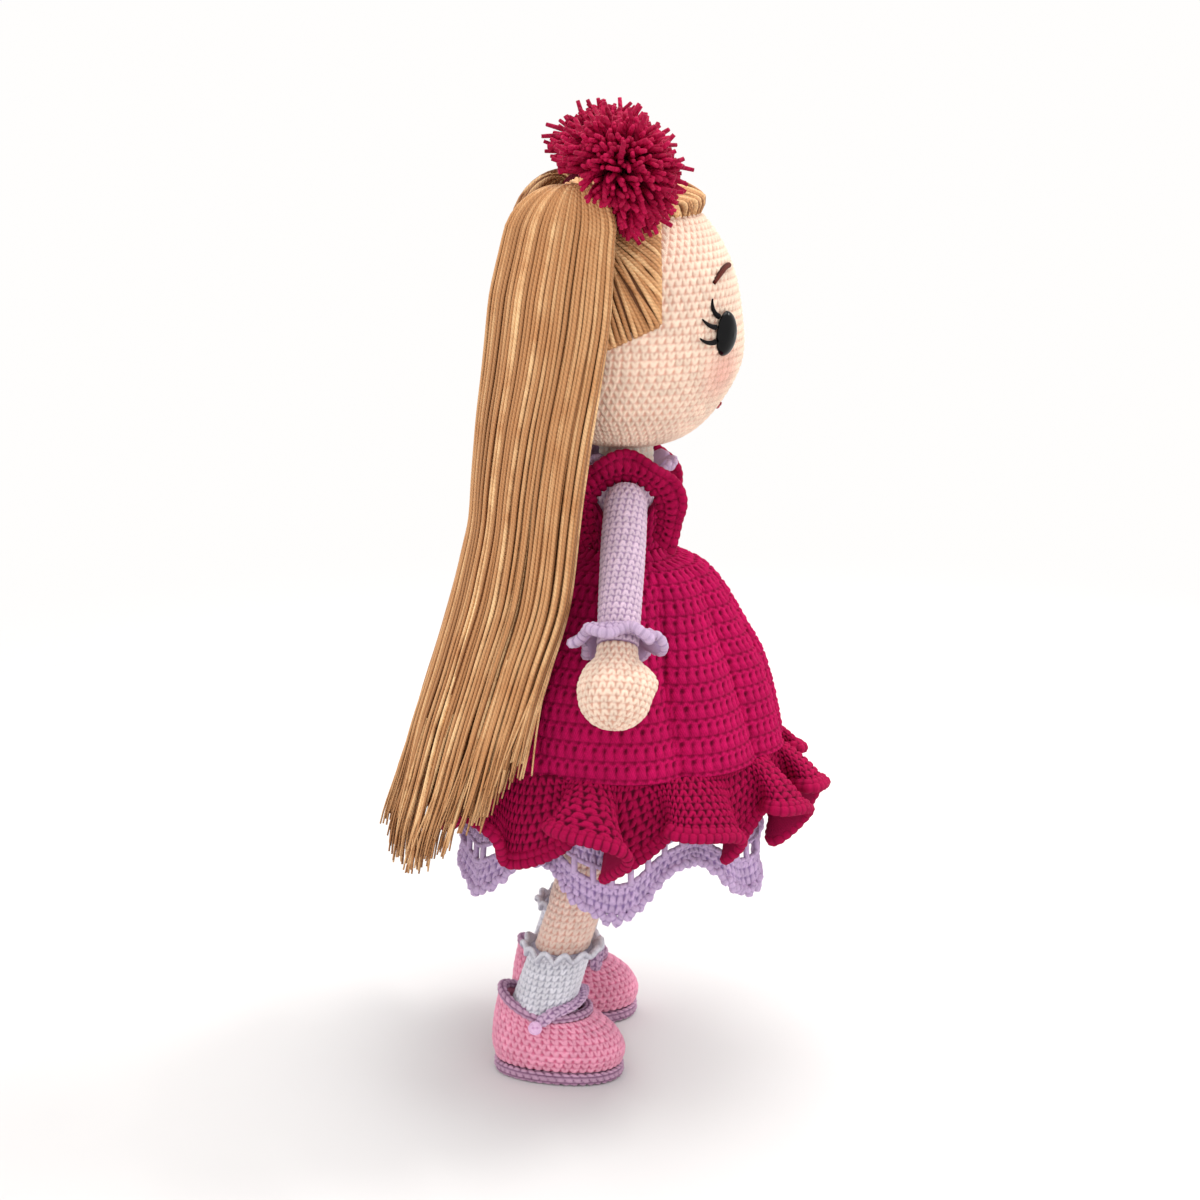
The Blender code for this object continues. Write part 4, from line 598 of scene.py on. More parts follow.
def grainSurface(name, low, high, scale, roughness, bump, coat=0.0, stretch=(1.0, 1.0, 1.0), gloss=0.5):
    # plastic, wood, board and stuffing: two tones of stretched noise that also lift the surface
    surface, tree, shader = freshMaterial(name)
    place = tree.nodes.new("ShaderNodeTexCoord")
    scaleNode = tree.nodes.new("ShaderNodeMapping")
    scaleNode.inputs["Scale"].default_value = stretch
    tree.links.new(place.outputs["Object"], scaleNode.inputs["Vector"])
    grain = noise(tree, scaleNode.outputs[0], scale, 4.0, 0.6)
    tree.links.new(mixed(tree, stretched(tree, grain, 0.3, 0.7), low, high), shader.inputs["Base Color"])
    tree.links.new(stretched(tree, grain, 0.2, 0.8, roughness[0], roughness[1]), shader.inputs["Roughness"])
    bumpNode = tree.nodes.new("ShaderNodeBump")
    bumpNode.inputs["Strength"].default_value = bump
    bumpNode.inputs["Distance"].default_value = 0.0004
    tree.links.new(grain, bumpNode.inputs["Height"])
    tree.links.new(bumpNode.outputs[0], shader.inputs["Normal"])
    shader.inputs["Coat Weight"].default_value = coat
    shader.inputs["Specular IOR Level"].default_value = gloss
    return surface


cheeks = [((side * 0.0235, -0.0430, 0.2990), 0.0150, linear(246, 172, 160)) for side in (-1, 1)]
# each crochet yarn: its own colour, then the painted shade colour for its stitches' low parts
skinYarn = yarnSurface("skinCrochet", linear(254, 228, 206), linear(234, 182, 160), spots=cheeks)
# painted light: a lighter copy of the skin yarn for the neck, to offset the head's shadow on it
neckPaintedLightYarn = yarnSurface("neckSkinPaintedLight", linear(255, 246, 230), linear(255, 226, 206))
legYarn = yarnSurface("legCrochet", linear(255, 226, 210), linear(236, 180, 162))
lilacYarn = yarnSurface("lilacCrochet", linear(230, 204, 222), linear(176, 146, 180))
frillYarn = yarnSurface("lilacFrill", linear(208, 182, 212), linear(146, 118, 160))
laceYarn = yarnSurface("laceCrochet", linear(210, 182, 220), linear(152, 124, 174))
dressYarn = yarnSurface("magentaCrochet", linear(188, 10, 84), linear(112, 3, 46), sheen=0.05, gloss=0.12)
ruffleYarn = yarnSurface("magentaRuffle", linear(174, 8, 72), linear(88, 1, 36), sheen=0.05, gloss=0.12)
sockYarn = yarnSurface("sockCrochet", linear(236, 234, 242), linear(186, 184, 198))
shoeYarn = yarnSurface("shoeCrochet", linear(250, 172, 198), linear(222, 116, 150))
soleYarn = yarnSurface("soleCrochet", linear(206, 164, 192), linear(146, 100, 134))
strapYarn = yarnSurface("strapCrochet", linear(214, 180, 210), linear(156, 120, 158))
# each thread: yarn colour, painted shade colour, painted highlight colour, ply pitch in mm
hairYarn = strandSurface("hairStrands", linear(214, 152, 98), linear(128, 78, 42), linear(250, 208, 154), 1.7, gloss=0.35)
pompomYarn = strandSurface("pompomStrands", linear(172, 7, 62), linear(76, 1, 26), linear(190, 18, 76), 2.4, sheen=0.03, gloss=0.12)
lashThread = strandSurface("lashStrand", linear(12, 10, 12), linear(5, 4, 5), linear(24, 22, 24), 1.2, sheen=0.0, gloss=0.1)
browThread = strandSurface("browStrand", linear(104, 40, 30), linear(60, 18, 14), linear(122, 54, 42), 1.2, sheen=0.0, gloss=0.1)
mouthThread = strandSurface("mouthStrand", linear(196, 28, 52), linear(130, 10, 26), linear(214, 60, 76), 1.2)
eyePlastic = grainSurface("eyeGloss", linear(4, 4, 5), linear(9, 8, 10), 300.0, (0.05, 0.09), 0.02, gloss=0.16)
buttonPlastic = grainSurface("buttonPearl", linear(214, 164, 206), linear(232, 192, 226), 260.0, (0.22, 0.34), 0.05,
                             coat=0.4)
stuffing = grainSurface("fibreFill", linear(232, 230, 224), linear(250, 249, 246), 420.0, (0.9, 1.0), 0.8)
wood = grainSurface("birchDowel", linear(196, 152, 104), linear(224, 188, 142), 300.0, (0.6, 0.8), 0.3,
                    stretch=(1.0, 1.0, 0.08))
board = grainSurface("insoleBoard", linear(150, 128, 104), linear(176, 154, 128), 700.0, (0.8, 0.95), 0.4)
washerPlastic = grainSurface("washerPlastic", linear(214, 214, 210), linear(232, 232, 228), 320.0, (0.35, 0.5), 0.1)
threadYarn = grainSurface("jointThread", linear(188, 158, 190), linear(214, 186, 214), 1800.0, (0.8, 0.95), 0.6)


# Head and face

print("head")


def headPoint(turn, around, grow, opening=0.0):
    # radius = (R + g) sin^p(turn), p = 0.75 below the middle; the centre leans to the neck; cheeks swell in front
    power = np.where(turn < math.pi / 2, 0.75, 1.0)
    radius = (headRadius + grow) * np.sin(turn) ** power
    z = headZ - (headHalfHeight + grow) * np.cos(turn)
    lean = np.maximum(np.cos(turn), 0.0) / math.cos(opening)
    centreY = mix(headY, neckY, lean ** 2)
    facing = np.maximum(np.cos(around), 0.0) ** 2
    height = (z - headZ + 0.0200) / 0.0170
    bulge = 0.0034 * facing * np.exp(-height * height) * np.sin(turn) ** 2
    return vec(radius * np.sin(around), centreY - radius * np.cos(around) - bulge, z)


def onFace(angle, rise, lift, side):
    # a spot on the face: angle round from the middle, rise over the head's middle, lift off the yarn
    return headPoint(np.arccos(-np.asarray(rise) / headHalfHeight), side * np.asarray(angle), lift)


headOpening = math.asin((0.0111 / headRadius) ** (1 / 0.75))
headShell = crochet(lambda u, v: headPoint(mix(headOpening, math.pi - 0.05, u), 2 * math.pi * v, 0.0, headOpening),
                    stitch=3.5, row=3.1, depth=1.0, perRow=4)
head = makePiece("headCrochet", headShell, skinYarn, "torso", ["head"])

neckShell = crochet(lambda u, v: vec(neckRadius * np.sin(2 * math.pi * v), neckY - neckRadius * np.cos(2 * math.pi * v),
                                     mix(neckZ - 0.002, headBottom + 0.004, u)), stitch=3.2, row=3.0, depth=0.8)
makePiece("neckCrochet", neckShell, neckPaintedLightYarn, "torso", ["neck"])

for label, side in sides.items():
    centre = onFace(eyeAngle, -0.0045, 0.0, side)
    outwardWay = unit(onFace(eyeAngle, -0.0045, 0.004, side) - centre)
    upWay = unit(np.array([0, 0, 1]) - outwardWay * outwardWay[2])
    sideWay = np.cross(outwardWay, upWay)

    def eyeShape(u, v):
        # a domed oval button: height = edge + bulge (1 - w^2.6), rounded under its rim
        width = smoothRead([0, 0.10, 0.18, 0.30, 0.48, 0.78, 1.0], [0.02, 0.9, 1.0, 0.985, 0.86, 0.46, 0.01], u)
        height = smoothRead([0, 0.10, 0.18, 0.30, 0.48, 0.78, 1.0], [0.2, 0.2, 0.62, 1.20, 2.75, 4.45, 4.95], u) * mm
        turn = 2 * math.pi * v
        return (centre + outwardWay * height[..., None] + upWay * (0.0089 * width * np.cos(turn))[..., None]
                + sideWay * (0.0058 * width * np.sin(turn))[..., None])
    lens = crochet(eyeShape, stitch=1.0, row=0.6, depth=0.0, perStitch=2, perRow=2)
    makePiece("eyeDome_" + label, lens, eyePlastic, "torso", ["eye_" + label])

    # three lashes off the eye's outer edge: foot on the edge, a bend, and a tip, along a quadratic curve
    lashPaths = []
    for foot, bend, tip in (((0.070, 0.0068), (0.165, 0.0092), (0.125, 0.0138)),
                            ((0.120, 0.0030), (0.190, 0.0034), (0.262, 0.0066)),
                            ((0.128, -0.0026), (0.215, -0.0034), (0.290, -0.0006))):
        t = np.linspace(0, 1, 16)[:, None]
        route = (1 - t) ** 2 * np.array(foot) + 2 * t * (1 - t) * np.array(bend) + t ** 2 * np.array(tip)
        lashPaths.append(onFace(eyeAngle + route[:, 0], -0.0045 + route[:, 1], 0.0007, side))
    taper = np.interp(np.linspace(0, 1, 16), [0, 0.1, 0.6, 1], [1.15, 1.05, 0.75, 0.32]) * mm
    lashes = strands(np.array(lashPaths), taper[None, :], 10, hint=outwardWay)
    makePiece("lashes_" + label, lashes, lashThread, "torso", ["eyelashes_" + label])

    t = np.linspace(0, 1, 26)
    browPath = onFace(mix(math.radians(16), math.radians(39), t), 0.0200 + 0.0014 * np.sin(math.pi * t) - 0.0050 * t ** 1.2,
                      0.0006, side)
    taper = np.interp(t, [0, 0.12, 0.6, 1], [0.60, 1.15, 1.20, 0.80]) * mm
    makePiece("brow_" + label, strands(browPath[None], taper[None, :], 10, hint=outwardWay), browThread, "torso",
              ["eyebrow_" + label])

t = np.linspace(-1, 1, 30)
smilePaths = np.array([onFace(math.radians(7.5) * t, -0.0362 - 0.0014 * (1 - t * t) + lift * mm, 0.0007, 1)
                       for lift in (0.0, 1.0)])
taper = np.interp(np.abs(t), [0, 0.7, 1], [0.85, 0.7, 0.35]) * mm
makePiece("smile", strands(smilePaths, taper[None, :], 10, hint=(0, -1, 0)), mouthThread, "torso", ["mouth"])


# Hair

print("hair")
headCentre = np.array([0, headY, headZ])
hairDepth, rootRadius, tieRadius = 0.0036, 0.0056, 0.0062


def tieFrame(side):
    tilt, angle = math.radians(47), math.radians(20)
    away = np.array([side * math.cos(tilt) * math.cos(angle), math.cos(tilt) * math.sin(angle), math.sin(tilt)])
    reach = 1 / math.sqrt((away[0] ** 2 + away[1] ** 2) / (headRadius + hairDepth) ** 2
                          + away[2] ** 2 / (headHalfHeight + hairDepth) ** 2)
    return headCentre + away * (reach + rootRadius + 0.0006), away


def squareTo(direction, hint):
    side = unit(hint - direction * np.dot(hint, direction))
    return side, np.cross(direction, side)


def hairline():
    # (turn, around) along one side: over the forehead, down beside the face, then slanting back under the nape
    line = []
    for around in np.radians(np.linspace(0, 61.6, 40)):
        line.append((math.acos(-0.0400 / headHalfHeight), around))
    for z in np.linspace(0.0400, 0.0010, 40):
        turn = math.acos(-z / headHalfHeight)
        line.append((turn, math.acos(0.0150 / (headRadius * math.sin(turn)))))
    for around in np.radians(np.linspace(72.5, 180, 90)):
        turn = math.pi / 2
        for step in range(12):
            spot = headPoint(np.array(turn), np.array(around), 0.0)
            z = headZ + 0.0010 - (spot[1] + 0.0190) * math.tan(math.radians(24))
            turn = math.acos(np.clip((headZ - z) / headHalfHeight, -1, 1))
        line.append((turn, around))
    return np.array(line)


line = hairline()
linePoints = headPoint(line[:, 0], line[:, 1], 0.0)
lineRun = np.concatenate([[0], np.cumsum(np.linalg.norm(np.diff(linePoints, axis=0), axis=1))])
frontRun, faceRun = lineRun[39], lineRun[79]

# The parting runs up the back from the nape and over the crown to the forehead
partTurn = np.concatenate([np.linspace(line[-1, 0] + 0.04, math.pi - 0.02, 60), np.linspace(math.pi - 0.02, line[0, 0] + 0.06, 40)])
parting = np.stack([partTurn, np.where(np.arange(100) < 60, math.pi, 0.0)], axis=-1)
partPoints = headPoint(parting[:, 0], parting[:, 1], 0.0)
partRun = np.concatenate([[0], np.cumsum(np.linalg.norm(np.diff(partPoints, axis=0), axis=1))])


def wayOf(turn, around):
    return vec(np.sin(turn) * np.sin(around), -np.sin(turn) * np.cos(around), -np.cos(turn))


def combed(side, spacingJitter, depthIn, lift, runs, edge=line, edgeRun=lineRun):
    # strands from the hairline or the parting to the tie along great circles of the head, each at its own depth
    run = np.clip(runs + rng.normal(0, spacingJitter, len(runs)) * mm, 0, edgeRun[-1])
    turn = np.interp(run, edgeRun, edge[:, 0])
    around = np.where(edge[np.searchsorted(edgeRun, run).clip(0, len(edge) - 1), 1] > 0,
                      np.interp(run, edgeRun, edge[:, 1]), 0.0)
    start = wayOf(turn, side * around)
    root, away = tieFrame(side)
    end = unit(root - headCentre + rng.normal(0, 1, (len(run), 3)) * 2.6 * mm)
    t = np.linspace(0, 1, 34)
    angle = np.arccos(np.clip(np.einsum("ij,ij->i", start, end), -1, 1))[:, None]
    path = (np.sin((1 - t) * angle)[..., None] * start[:, None] + np.sin(t * angle)[..., None] * end[:, None])
    path = unit(path / np.sin(angle)[..., None])
    sway = rng.normal(0, 1, (len(run), 1)) * np.sin(math.pi * t) * 0.010
    path = unit(path + np.cross(path, end[:, None] - start[:, None]) * sway[..., None])
    travelled = t[None, :] * angle * 0.048
    front = np.clip(1 - (run - frontRun * 0.9) / (faceRun - frontRun) * 1.4, 0, 1)[:, None]
    top = mix(depthIn, depthIn + lift, front)
    rise = top * np.clip(travelled / 0.0035, 0, 1) ** 0.5
    rise = rise + rng.normal(0, 0.18, (len(run), 1)) * mm
    rise = np.where(t[None, :] > 0.86, rise + (t[None, :] - 0.86) / 0.14 * 2.6 * mm, rise)
    turnPath = np.arccos(np.clip(-path[..., 2], -1, 1))
    aroundPath = np.arctan2(path[..., 0], -path[..., 1])
    points = headPoint(turnPath, aroundPath, rise)
    return points, path


def scalpShape(side):
    # a thin closed cap from the crown down to the hairline and back up on the outside
    full = np.concatenate([line[:, 1], 2 * math.pi - line[::-1, 1][1:]])
    turns = np.concatenate([line[:, 0], line[::-1, 0][1:]])

    def shape(u, v):
        around = 2 * math.pi * v
        edge = np.interp(np.mod(around, 2 * math.pi), full, turns)
        outer = u > 0.5
        down = np.where(outer, 2 - 2 * u, 2 * u)
        turn = mix(math.pi - 0.04, edge + 0.03, down)
        lift = np.where(outer, 0.0018 * np.clip((1 - down) / 0.08, 0.15, 1), 0.0004)
        return headPoint(turn, around, lift)
    return shape


capShells = [crochet(scalpShape(1), stitch=3.0, row=3.0, depth=0.0, perStitch=1, perRow=1)]
fringeShells = []
crownShells = []
for label, side in sides.items():
    near = []
    spacing = 2.2 * mm
    thinning = np.linspace(1.0, 0.72, 34)[None, :] * mm
    back = np.arange(frontRun * 0.92, lineRun[-1], spacing)
    # painted shade: each strand is darker on its side towards the scalp
    paths, ways = combed(side, 0.22, 0.0024, 0.0, back)
    near.append(strands(paths, thinning, 6, hint=ways))
    paths, ways = combed(side, 0.5, 0.0010, 0.0, back + spacing / 2)
    near.append(strands(paths, thinning, 6, hint=ways))
    capShells += near
    front = np.arange(0.3 * mm, frontRun * 1.06, spacing * 0.86)
    for depth, lift in ((0.0014, 0.0012), (0.0022, 0.0034)):
        paths, ways = combed(side, 0.3, depth, lift, front)
        fringeShells.append(strands(paths, thinning, 6, hint=ways))
    crown = np.arange(0.5 * mm, partRun[-1], spacing)
    for depth, shiftBy, jitter in ((0.0024, 0.0, 0.22), (0.0012, spacing / 2, 0.4)):
        paths, ways = combed(side, jitter, depth, 0.0, crown + shiftBy, parting, partRun)
        crownShells.append(strands(paths[:, ::2], thinning[:, ::2], 6, hint=ways[:, ::2]))
makePiece("combedHair", joined(capShells), hairYarn, "torso", ["hair_cap"])
makePiece("crownHair", joined(crownShells), hairYarn, "torso", ["hair_cap"])
makePiece("foreheadHair", joined(fringeShells), hairYarn, "torso", ["fringe"])

# Down the tail: first and last angle from the back, inner radius at the back and flank, thickness
tailRead = tableReader((
    (0.00, 0.430, 0.975, 1.07, 1.05, 0.78), (0.10, 0.390, 0.960, 1.12, 1.12, 0.95), (0.20, 0.340, 0.920, 1.12, 1.12, 1.00),
    (0.30, 0.250, 0.870, 1.11, 1.09, 1.00), (0.42, 0.175, 0.820, 1.12, 1.06, 1.00), (0.54, 0.150, 0.785, 1.25, 1.09, 0.97),
    (0.66, 0.140, 0.710, 1.44, 1.20, 0.92), (0.76, 0.140, 0.665, 1.63, 1.33, 0.86), (0.86, 0.150, 0.640, 1.80, 1.52, 0.80),
    (0.94, 0.150, 0.620, 1.92, 1.70, 0.74), (1.00, 0.150, 0.600, 1.96, 1.78, 0.70)))


def tailPoint(share, across, through, side):
    # radius = mix(back, flank, sin^2 angle) + thickness (through + 1) / 2, falling by 255.5 mm
    angle = mix(tailRead(share, 1), tailRead(share, 2), (across + 1) / 2) * math.pi / 2
    inner = mix(tailRead(share, 3), tailRead(share, 4), np.sin(angle) ** 2) * headRadius
    radius = inner + 0.0095 * tailRead(share, 5) * (through + 1) / 2
    return vec(side * radius * np.sin(angle), headY + radius * np.cos(angle), headZ + 0.0330 - 0.2555 * share)


def tailPaths(side, across, through, drop, rows=46):
    # out of the tie, over a quadratic arch, then down the fall with a slow wander of each strand
    root, away = tieFrame(side)
    sideways, second = squareTo(away, np.array([0, 1.0, 0]))
    number = len(across)
    share = np.linspace(0, 1, rows)[None, :] * (1 - drop[:, None])
    waver = rng.uniform(0, 2 * math.pi, (number, 3))
    drift = (np.sin(share * 5.0 + waver[:, :1]) * 0.011 + np.sin(share * 13.0 + waver[:, 1:2]) * 0.006) * np.minimum(share * 3, 1)
    spread = rng.normal(0, 1, (number, 1)) * (0.026 * share ** 2 + 0.070 * share ** 9)
    acrossAll = np.clip(across[:, None] * 0.965 + drift + spread, -1, 1)
    throughAll = through[:, None] + np.sin(share * 7.0 + waver[:, 2:]) * 0.09
    throughAll = np.clip(throughAll + rng.normal(0, 1, (number, 1)) * (0.07 * share + 0.25 * share ** 8), -1, 1.25)
    fall = tailPoint(share, acrossAll, throughAll * 0.86, side)
    startLow = (root - away * rootRadius * 0.5 + (sideways * -across[:, None] + second * through[:, None] * side)
                * rootRadius * 0.62)
    start = root + away * rootRadius * 0.8 + (sideways * -across[:, None] + second * through[:, None] * side) * rootRadius * 0.80
    turn = np.linspace(0, 1, 12)[1:-1][None, :, None]
    lead = root + away * 0.0230
    knee = lead + (fall[:, :1] - tailPoint(np.zeros(1), np.zeros(1), np.zeros(1), side)) * turn
    arch = start[:, None] * (1 - turn) ** 2 + knee * 2 * turn * (1 - turn) + fall[:, :1] * turn ** 2
    return np.concatenate([startLow[:, None], start[:, None], arch, fall], axis=1)


for label, side in sides.items():
    root, away = tieFrame(side)
    ringTurn = (np.arange(30) + 0.5) / 30 * 2 * math.pi
    layers = ((29, 0.98), (29, 0.72), (27, -0.98), (14, -0.60))
    across = np.concatenate([(np.arange(count) + 0.5) / count * 2 - 1 for count, level in layers] + [np.tile([-1.0, 1.0], 4)])
    across = across + rng.normal(0, 0.008, len(across))
    through = np.concatenate([np.full(count, level) for count, level in layers] + [np.repeat([-0.6, -0.2, 0.2, 0.6], 2)])
    slant = np.interp(across, [-1, -0.75, -0.1, 0.35, 1.0], [0.045, 0.010, 0.0, 0.055, 0.185])
    drop = slant + np.abs(rng.normal(0, 0.030, len(across))) + 0.002
    paths = tailPaths(side, across, through, drop)
    # painted shade: with this hint each strand is darker on its side facing the head's vertical axis
    outwardHint = unit(vec(paths[..., 0], paths[..., 1] - headY, paths[..., 2] * 0 + 0.02))
    thick = rng.uniform(0.86, 0.98, (len(paths), 1)) * mm * np.interp(np.arange(paths.shape[1]), [0, 50, 57], [1, 1, 0.45])
    tones = rng.random(len(paths))
    tail = [strands(paths, thick, 6, hint=outwardHint, tone=tones)]
    # loose plies that part from each strand's last stretch: offset = way * t^1.3
    for splits in range(2):
        tips = paths[:, -9:]
        part = rng.normal(0, 1, (len(paths), 1, 3)) * np.array([1.3, 1.5, 0.6]) * mm
        t = np.linspace(0, 1, 9)[None, :, None]
        tips = tips + part * t ** 1.3 - np.array([0, 0, 1.0]) * (rng.uniform(-3.0, 2.5, (len(paths), 1, 1)) * mm * t ** 2)
        tail.append(strands(tips, np.linspace(0.62, 0.38, 9)[None, :] * mm, 5, hint=outwardHint[:, -9:], tone=tones))
    # the middle of the bundle, a dark sheet painted wholly in the painted shade colour (relief 0), thinner than the
    # fall and ending above the loose ends
    coreA = np.sign(np.cos(ringTurn)) * np.abs(np.cos(ringTurn)) ** 0.7
    coreT = np.sign(np.sin(ringTurn)) * np.abs(np.sin(ringTurn)) ** 0.8
    saved = rng
    rng = np.random.default_rng(1)
    corePaths = tailPaths(side, coreA * 0.88, coreT * 0.50, np.full(len(coreA), 0.20))
    rng = saved
    core = np.swapaxes(corePaths, 0, 1)
    index = np.arange(core.shape[0] * core.shape[1]).reshape(core.shape[:2])
    quads = np.stack([index[:-1], np.roll(index[:-1], -1, axis=1), np.roll(index[1:], -1, axis=1), index[1:]], axis=-1)
    ends = np.stack([index[0][::-1], index[-1]])
    tail.append(shellOf(core, [(quads.reshape(-1, 4), plainUv(quads.reshape(-1, 4))), (ends, plainUv(ends))], 0.0))
    makePiece("tailStrands_" + label, joined(tail), hairYarn, "tail_" + label, ["ponytail_" + label])

    # the tie: yarn wound three and a half times round the root
    sideways, second = squareTo(away, np.array([0, 1.0, 0]))
    t = np.linspace(0, 1, 120)
    turn = t * 7 * math.pi
    coil = (root + away * (0.0024 + 0.0030 * t)[:, None]
            + (sideways * np.cos(turn)[:, None] + second * np.sin(turn)[:, None]) * (tieRadius + 0.0009))
    makePiece("tieYarn_" + label, strands(coil[None], 1.0 * mm, 8, hint=away), pompomYarn, "torso",
              ["hair_tie_" + label])

    # the pompom: cut yarn ends on a Fibonacci ball, bent at random and shortened where hair is in the way
    centre = np.array([side * 0.0420, -0.0030 + (0.0045 if side > 0 else 0.0), headZ + 0.0590])
    number = 900
    index = np.arange(number) + 0.5
    polar = np.arccos(1 - 2 * index / number)
    azimuth = math.pi * (1 + 5 ** 0.5) * index
    way = vec(np.sin(polar) * np.cos(azimuth), np.sin(polar) * np.sin(azimuth), np.cos(polar))
    way = unit(way + rng.normal(0, 0.10, way.shape))
    bend = rng.normal(0, 1, way.shape)
    bend = bend - way * np.einsum("ij,ij->i", bend, way)[:, None]
    reach = 0.0230 * rng.uniform(0.88, 1.01, number)
    reach = np.where(rng.random(number) < 0.03, reach * 1.08, reach)
    t = np.linspace(0.16, 1, 7)

    def endRoom(points):
        # clear of the combed hair, and of the tail's arch and fall
        local = (points - headCentre) / np.array([headRadius + 0.0058, headRadius + 0.0058, headHalfHeight + 0.0058])
        inHead = np.linalg.norm(local, axis=-1) < 1
        near = np.abs(points[..., 0]) < 0.0610
        inArch = (points[..., 1] > 0.0010) & (points[..., 2] < root[2] + 0.0135) & near
        inFall = (points[..., 1] > -0.0030) & (points[..., 2] < root[2]) & near
        return inHead | inArch | inFall
    for step in range(14):
        route = (centre + way[:, None] * (reach[:, None] * t)[..., None]
                 + bend[:, None] * (t ** 2 * reach[:, None])[..., None] * 0.26
                 - np.array([0, 0, 0.12]) * (t ** 2 * reach[:, None])[..., None])
        blocked = endRoom(route[:, -1])
        reach = np.where(blocked, reach * 0.90, reach)
    kept = reach > 0.0070
    route = route[kept]
    body = rng.uniform(0.92, 1.06, (len(route), 1)) * mm * np.array([[0.7, 0.9, 1.0, 1.0, 1.0, 1.0, 0.84]])
    hints = np.broadcast_to(np.array([0.3, 0.2, 0.9]), route.shape)
    tones = rng.random(len(route))
    # painted shade: each yarn end is darkest at the ball's middle and lightest at its tip
    reliefs = np.broadcast_to(np.array([[0.0, 0.1, 0.35, 0.6, 0.8, 0.95, 1.0]]), route.shape[:2])
    ball = strands(route, body, 6, hint=hints, tone=tones, relief=reliefs)
    makePiece("pompomYarn_" + label, ball, pompomYarn, "torso", ["pompom_" + label])


# Blouse, neck frill and arms

print("blouse")
bodyRead = tableReader((
    # height, centre y, half width, half depth
    (0.0, -8.5, 15.5, 10.0), (0.03, -8.5, 25.6, 17.5), (0.125, -8.2, 27.0, 19.0), (0.265, -7.8, 24.3, 18.0),
    (0.488, -7.0, 19.4, 16.3), (0.753, -6.0, 16.5, 14.0), (0.863, -6.3, 16.5, 13.2), (0.936, -6.5, 16.3, 13.0),
    (0.98, -7.0, 13.6, 12.0), (1.0, -7.0, 10.9, 10.9)))


def bodyShape(u, v):
    turn = 2 * math.pi * v
    z = mix(hipZ - 0.0066, neckZ, u)
    return vec(bodyRead(u, 2) * mm * np.sin(turn), (bodyRead(u, 1) - bodyRead(u, 3) * np.cos(turn)) * mm, z)


blouse = makePiece("blouseCrochet", crochet(bodyShape, stitch=2.9, row=2.8, depth=0.7, perStitch=4, perRow=3), lilacYarn,
                   "torso", ["body"])


def ruffleBand(centreOf, inner, rise, reach, lobes, swing, lift, wander=0.0):
    # a frilled band: radius = inner + reach u + swing u^1.5 cos(N a), height = rise(u) + lift u sin(N a)
    def shape(u, v):
        turn = 2 * math.pi * v
        wave = lobes * turn + wander * np.sin(2 * turn + 1.0)
        radius = inner + reach * u + swing * u ** 1.5 * np.cos(wave)
        lean = turn + 0.25 * swing / inner * u * np.sin(2 * wave) * 0.6
        height = rise * u + lift * u ** 1.3 * np.sin(wave + 0.6)
        return centreOf(radius * np.sin(lean), -radius * np.cos(lean), height)
    return shape


def neckPlace(x, y, z):
    # the collar stands up behind the neck: height + 0.0046 (1 + y / r) / 2 outside the neck's radius
    radius = np.hypot(x, y)
    behind = (1 + y / radius) / 2 * np.clip((radius - neckRadius - 0.0012) / 0.0062, 0, 1)
    return vec(x, neckY + y, neckZ + 0.0016 + z + 0.0046 * behind)


collarShape = ruffleBand(neckPlace, neckRadius + 0.0012, 0.0026, 0.0064, 11, 0.0013, 0.0016)
collar = crochet(collarShape, stitch=2.5, row=2.2, depth=0.9, wall=2.0, perStitch=5, perRow=4)
collarEdge = stitchedCord(collarShape(np.ones(481), np.linspace(0, 1, 481)), 1.5, 2.6)
makePiece("collarFrill", joined([collar, collarEdge]), frillYarn, "torso", ["collar"])

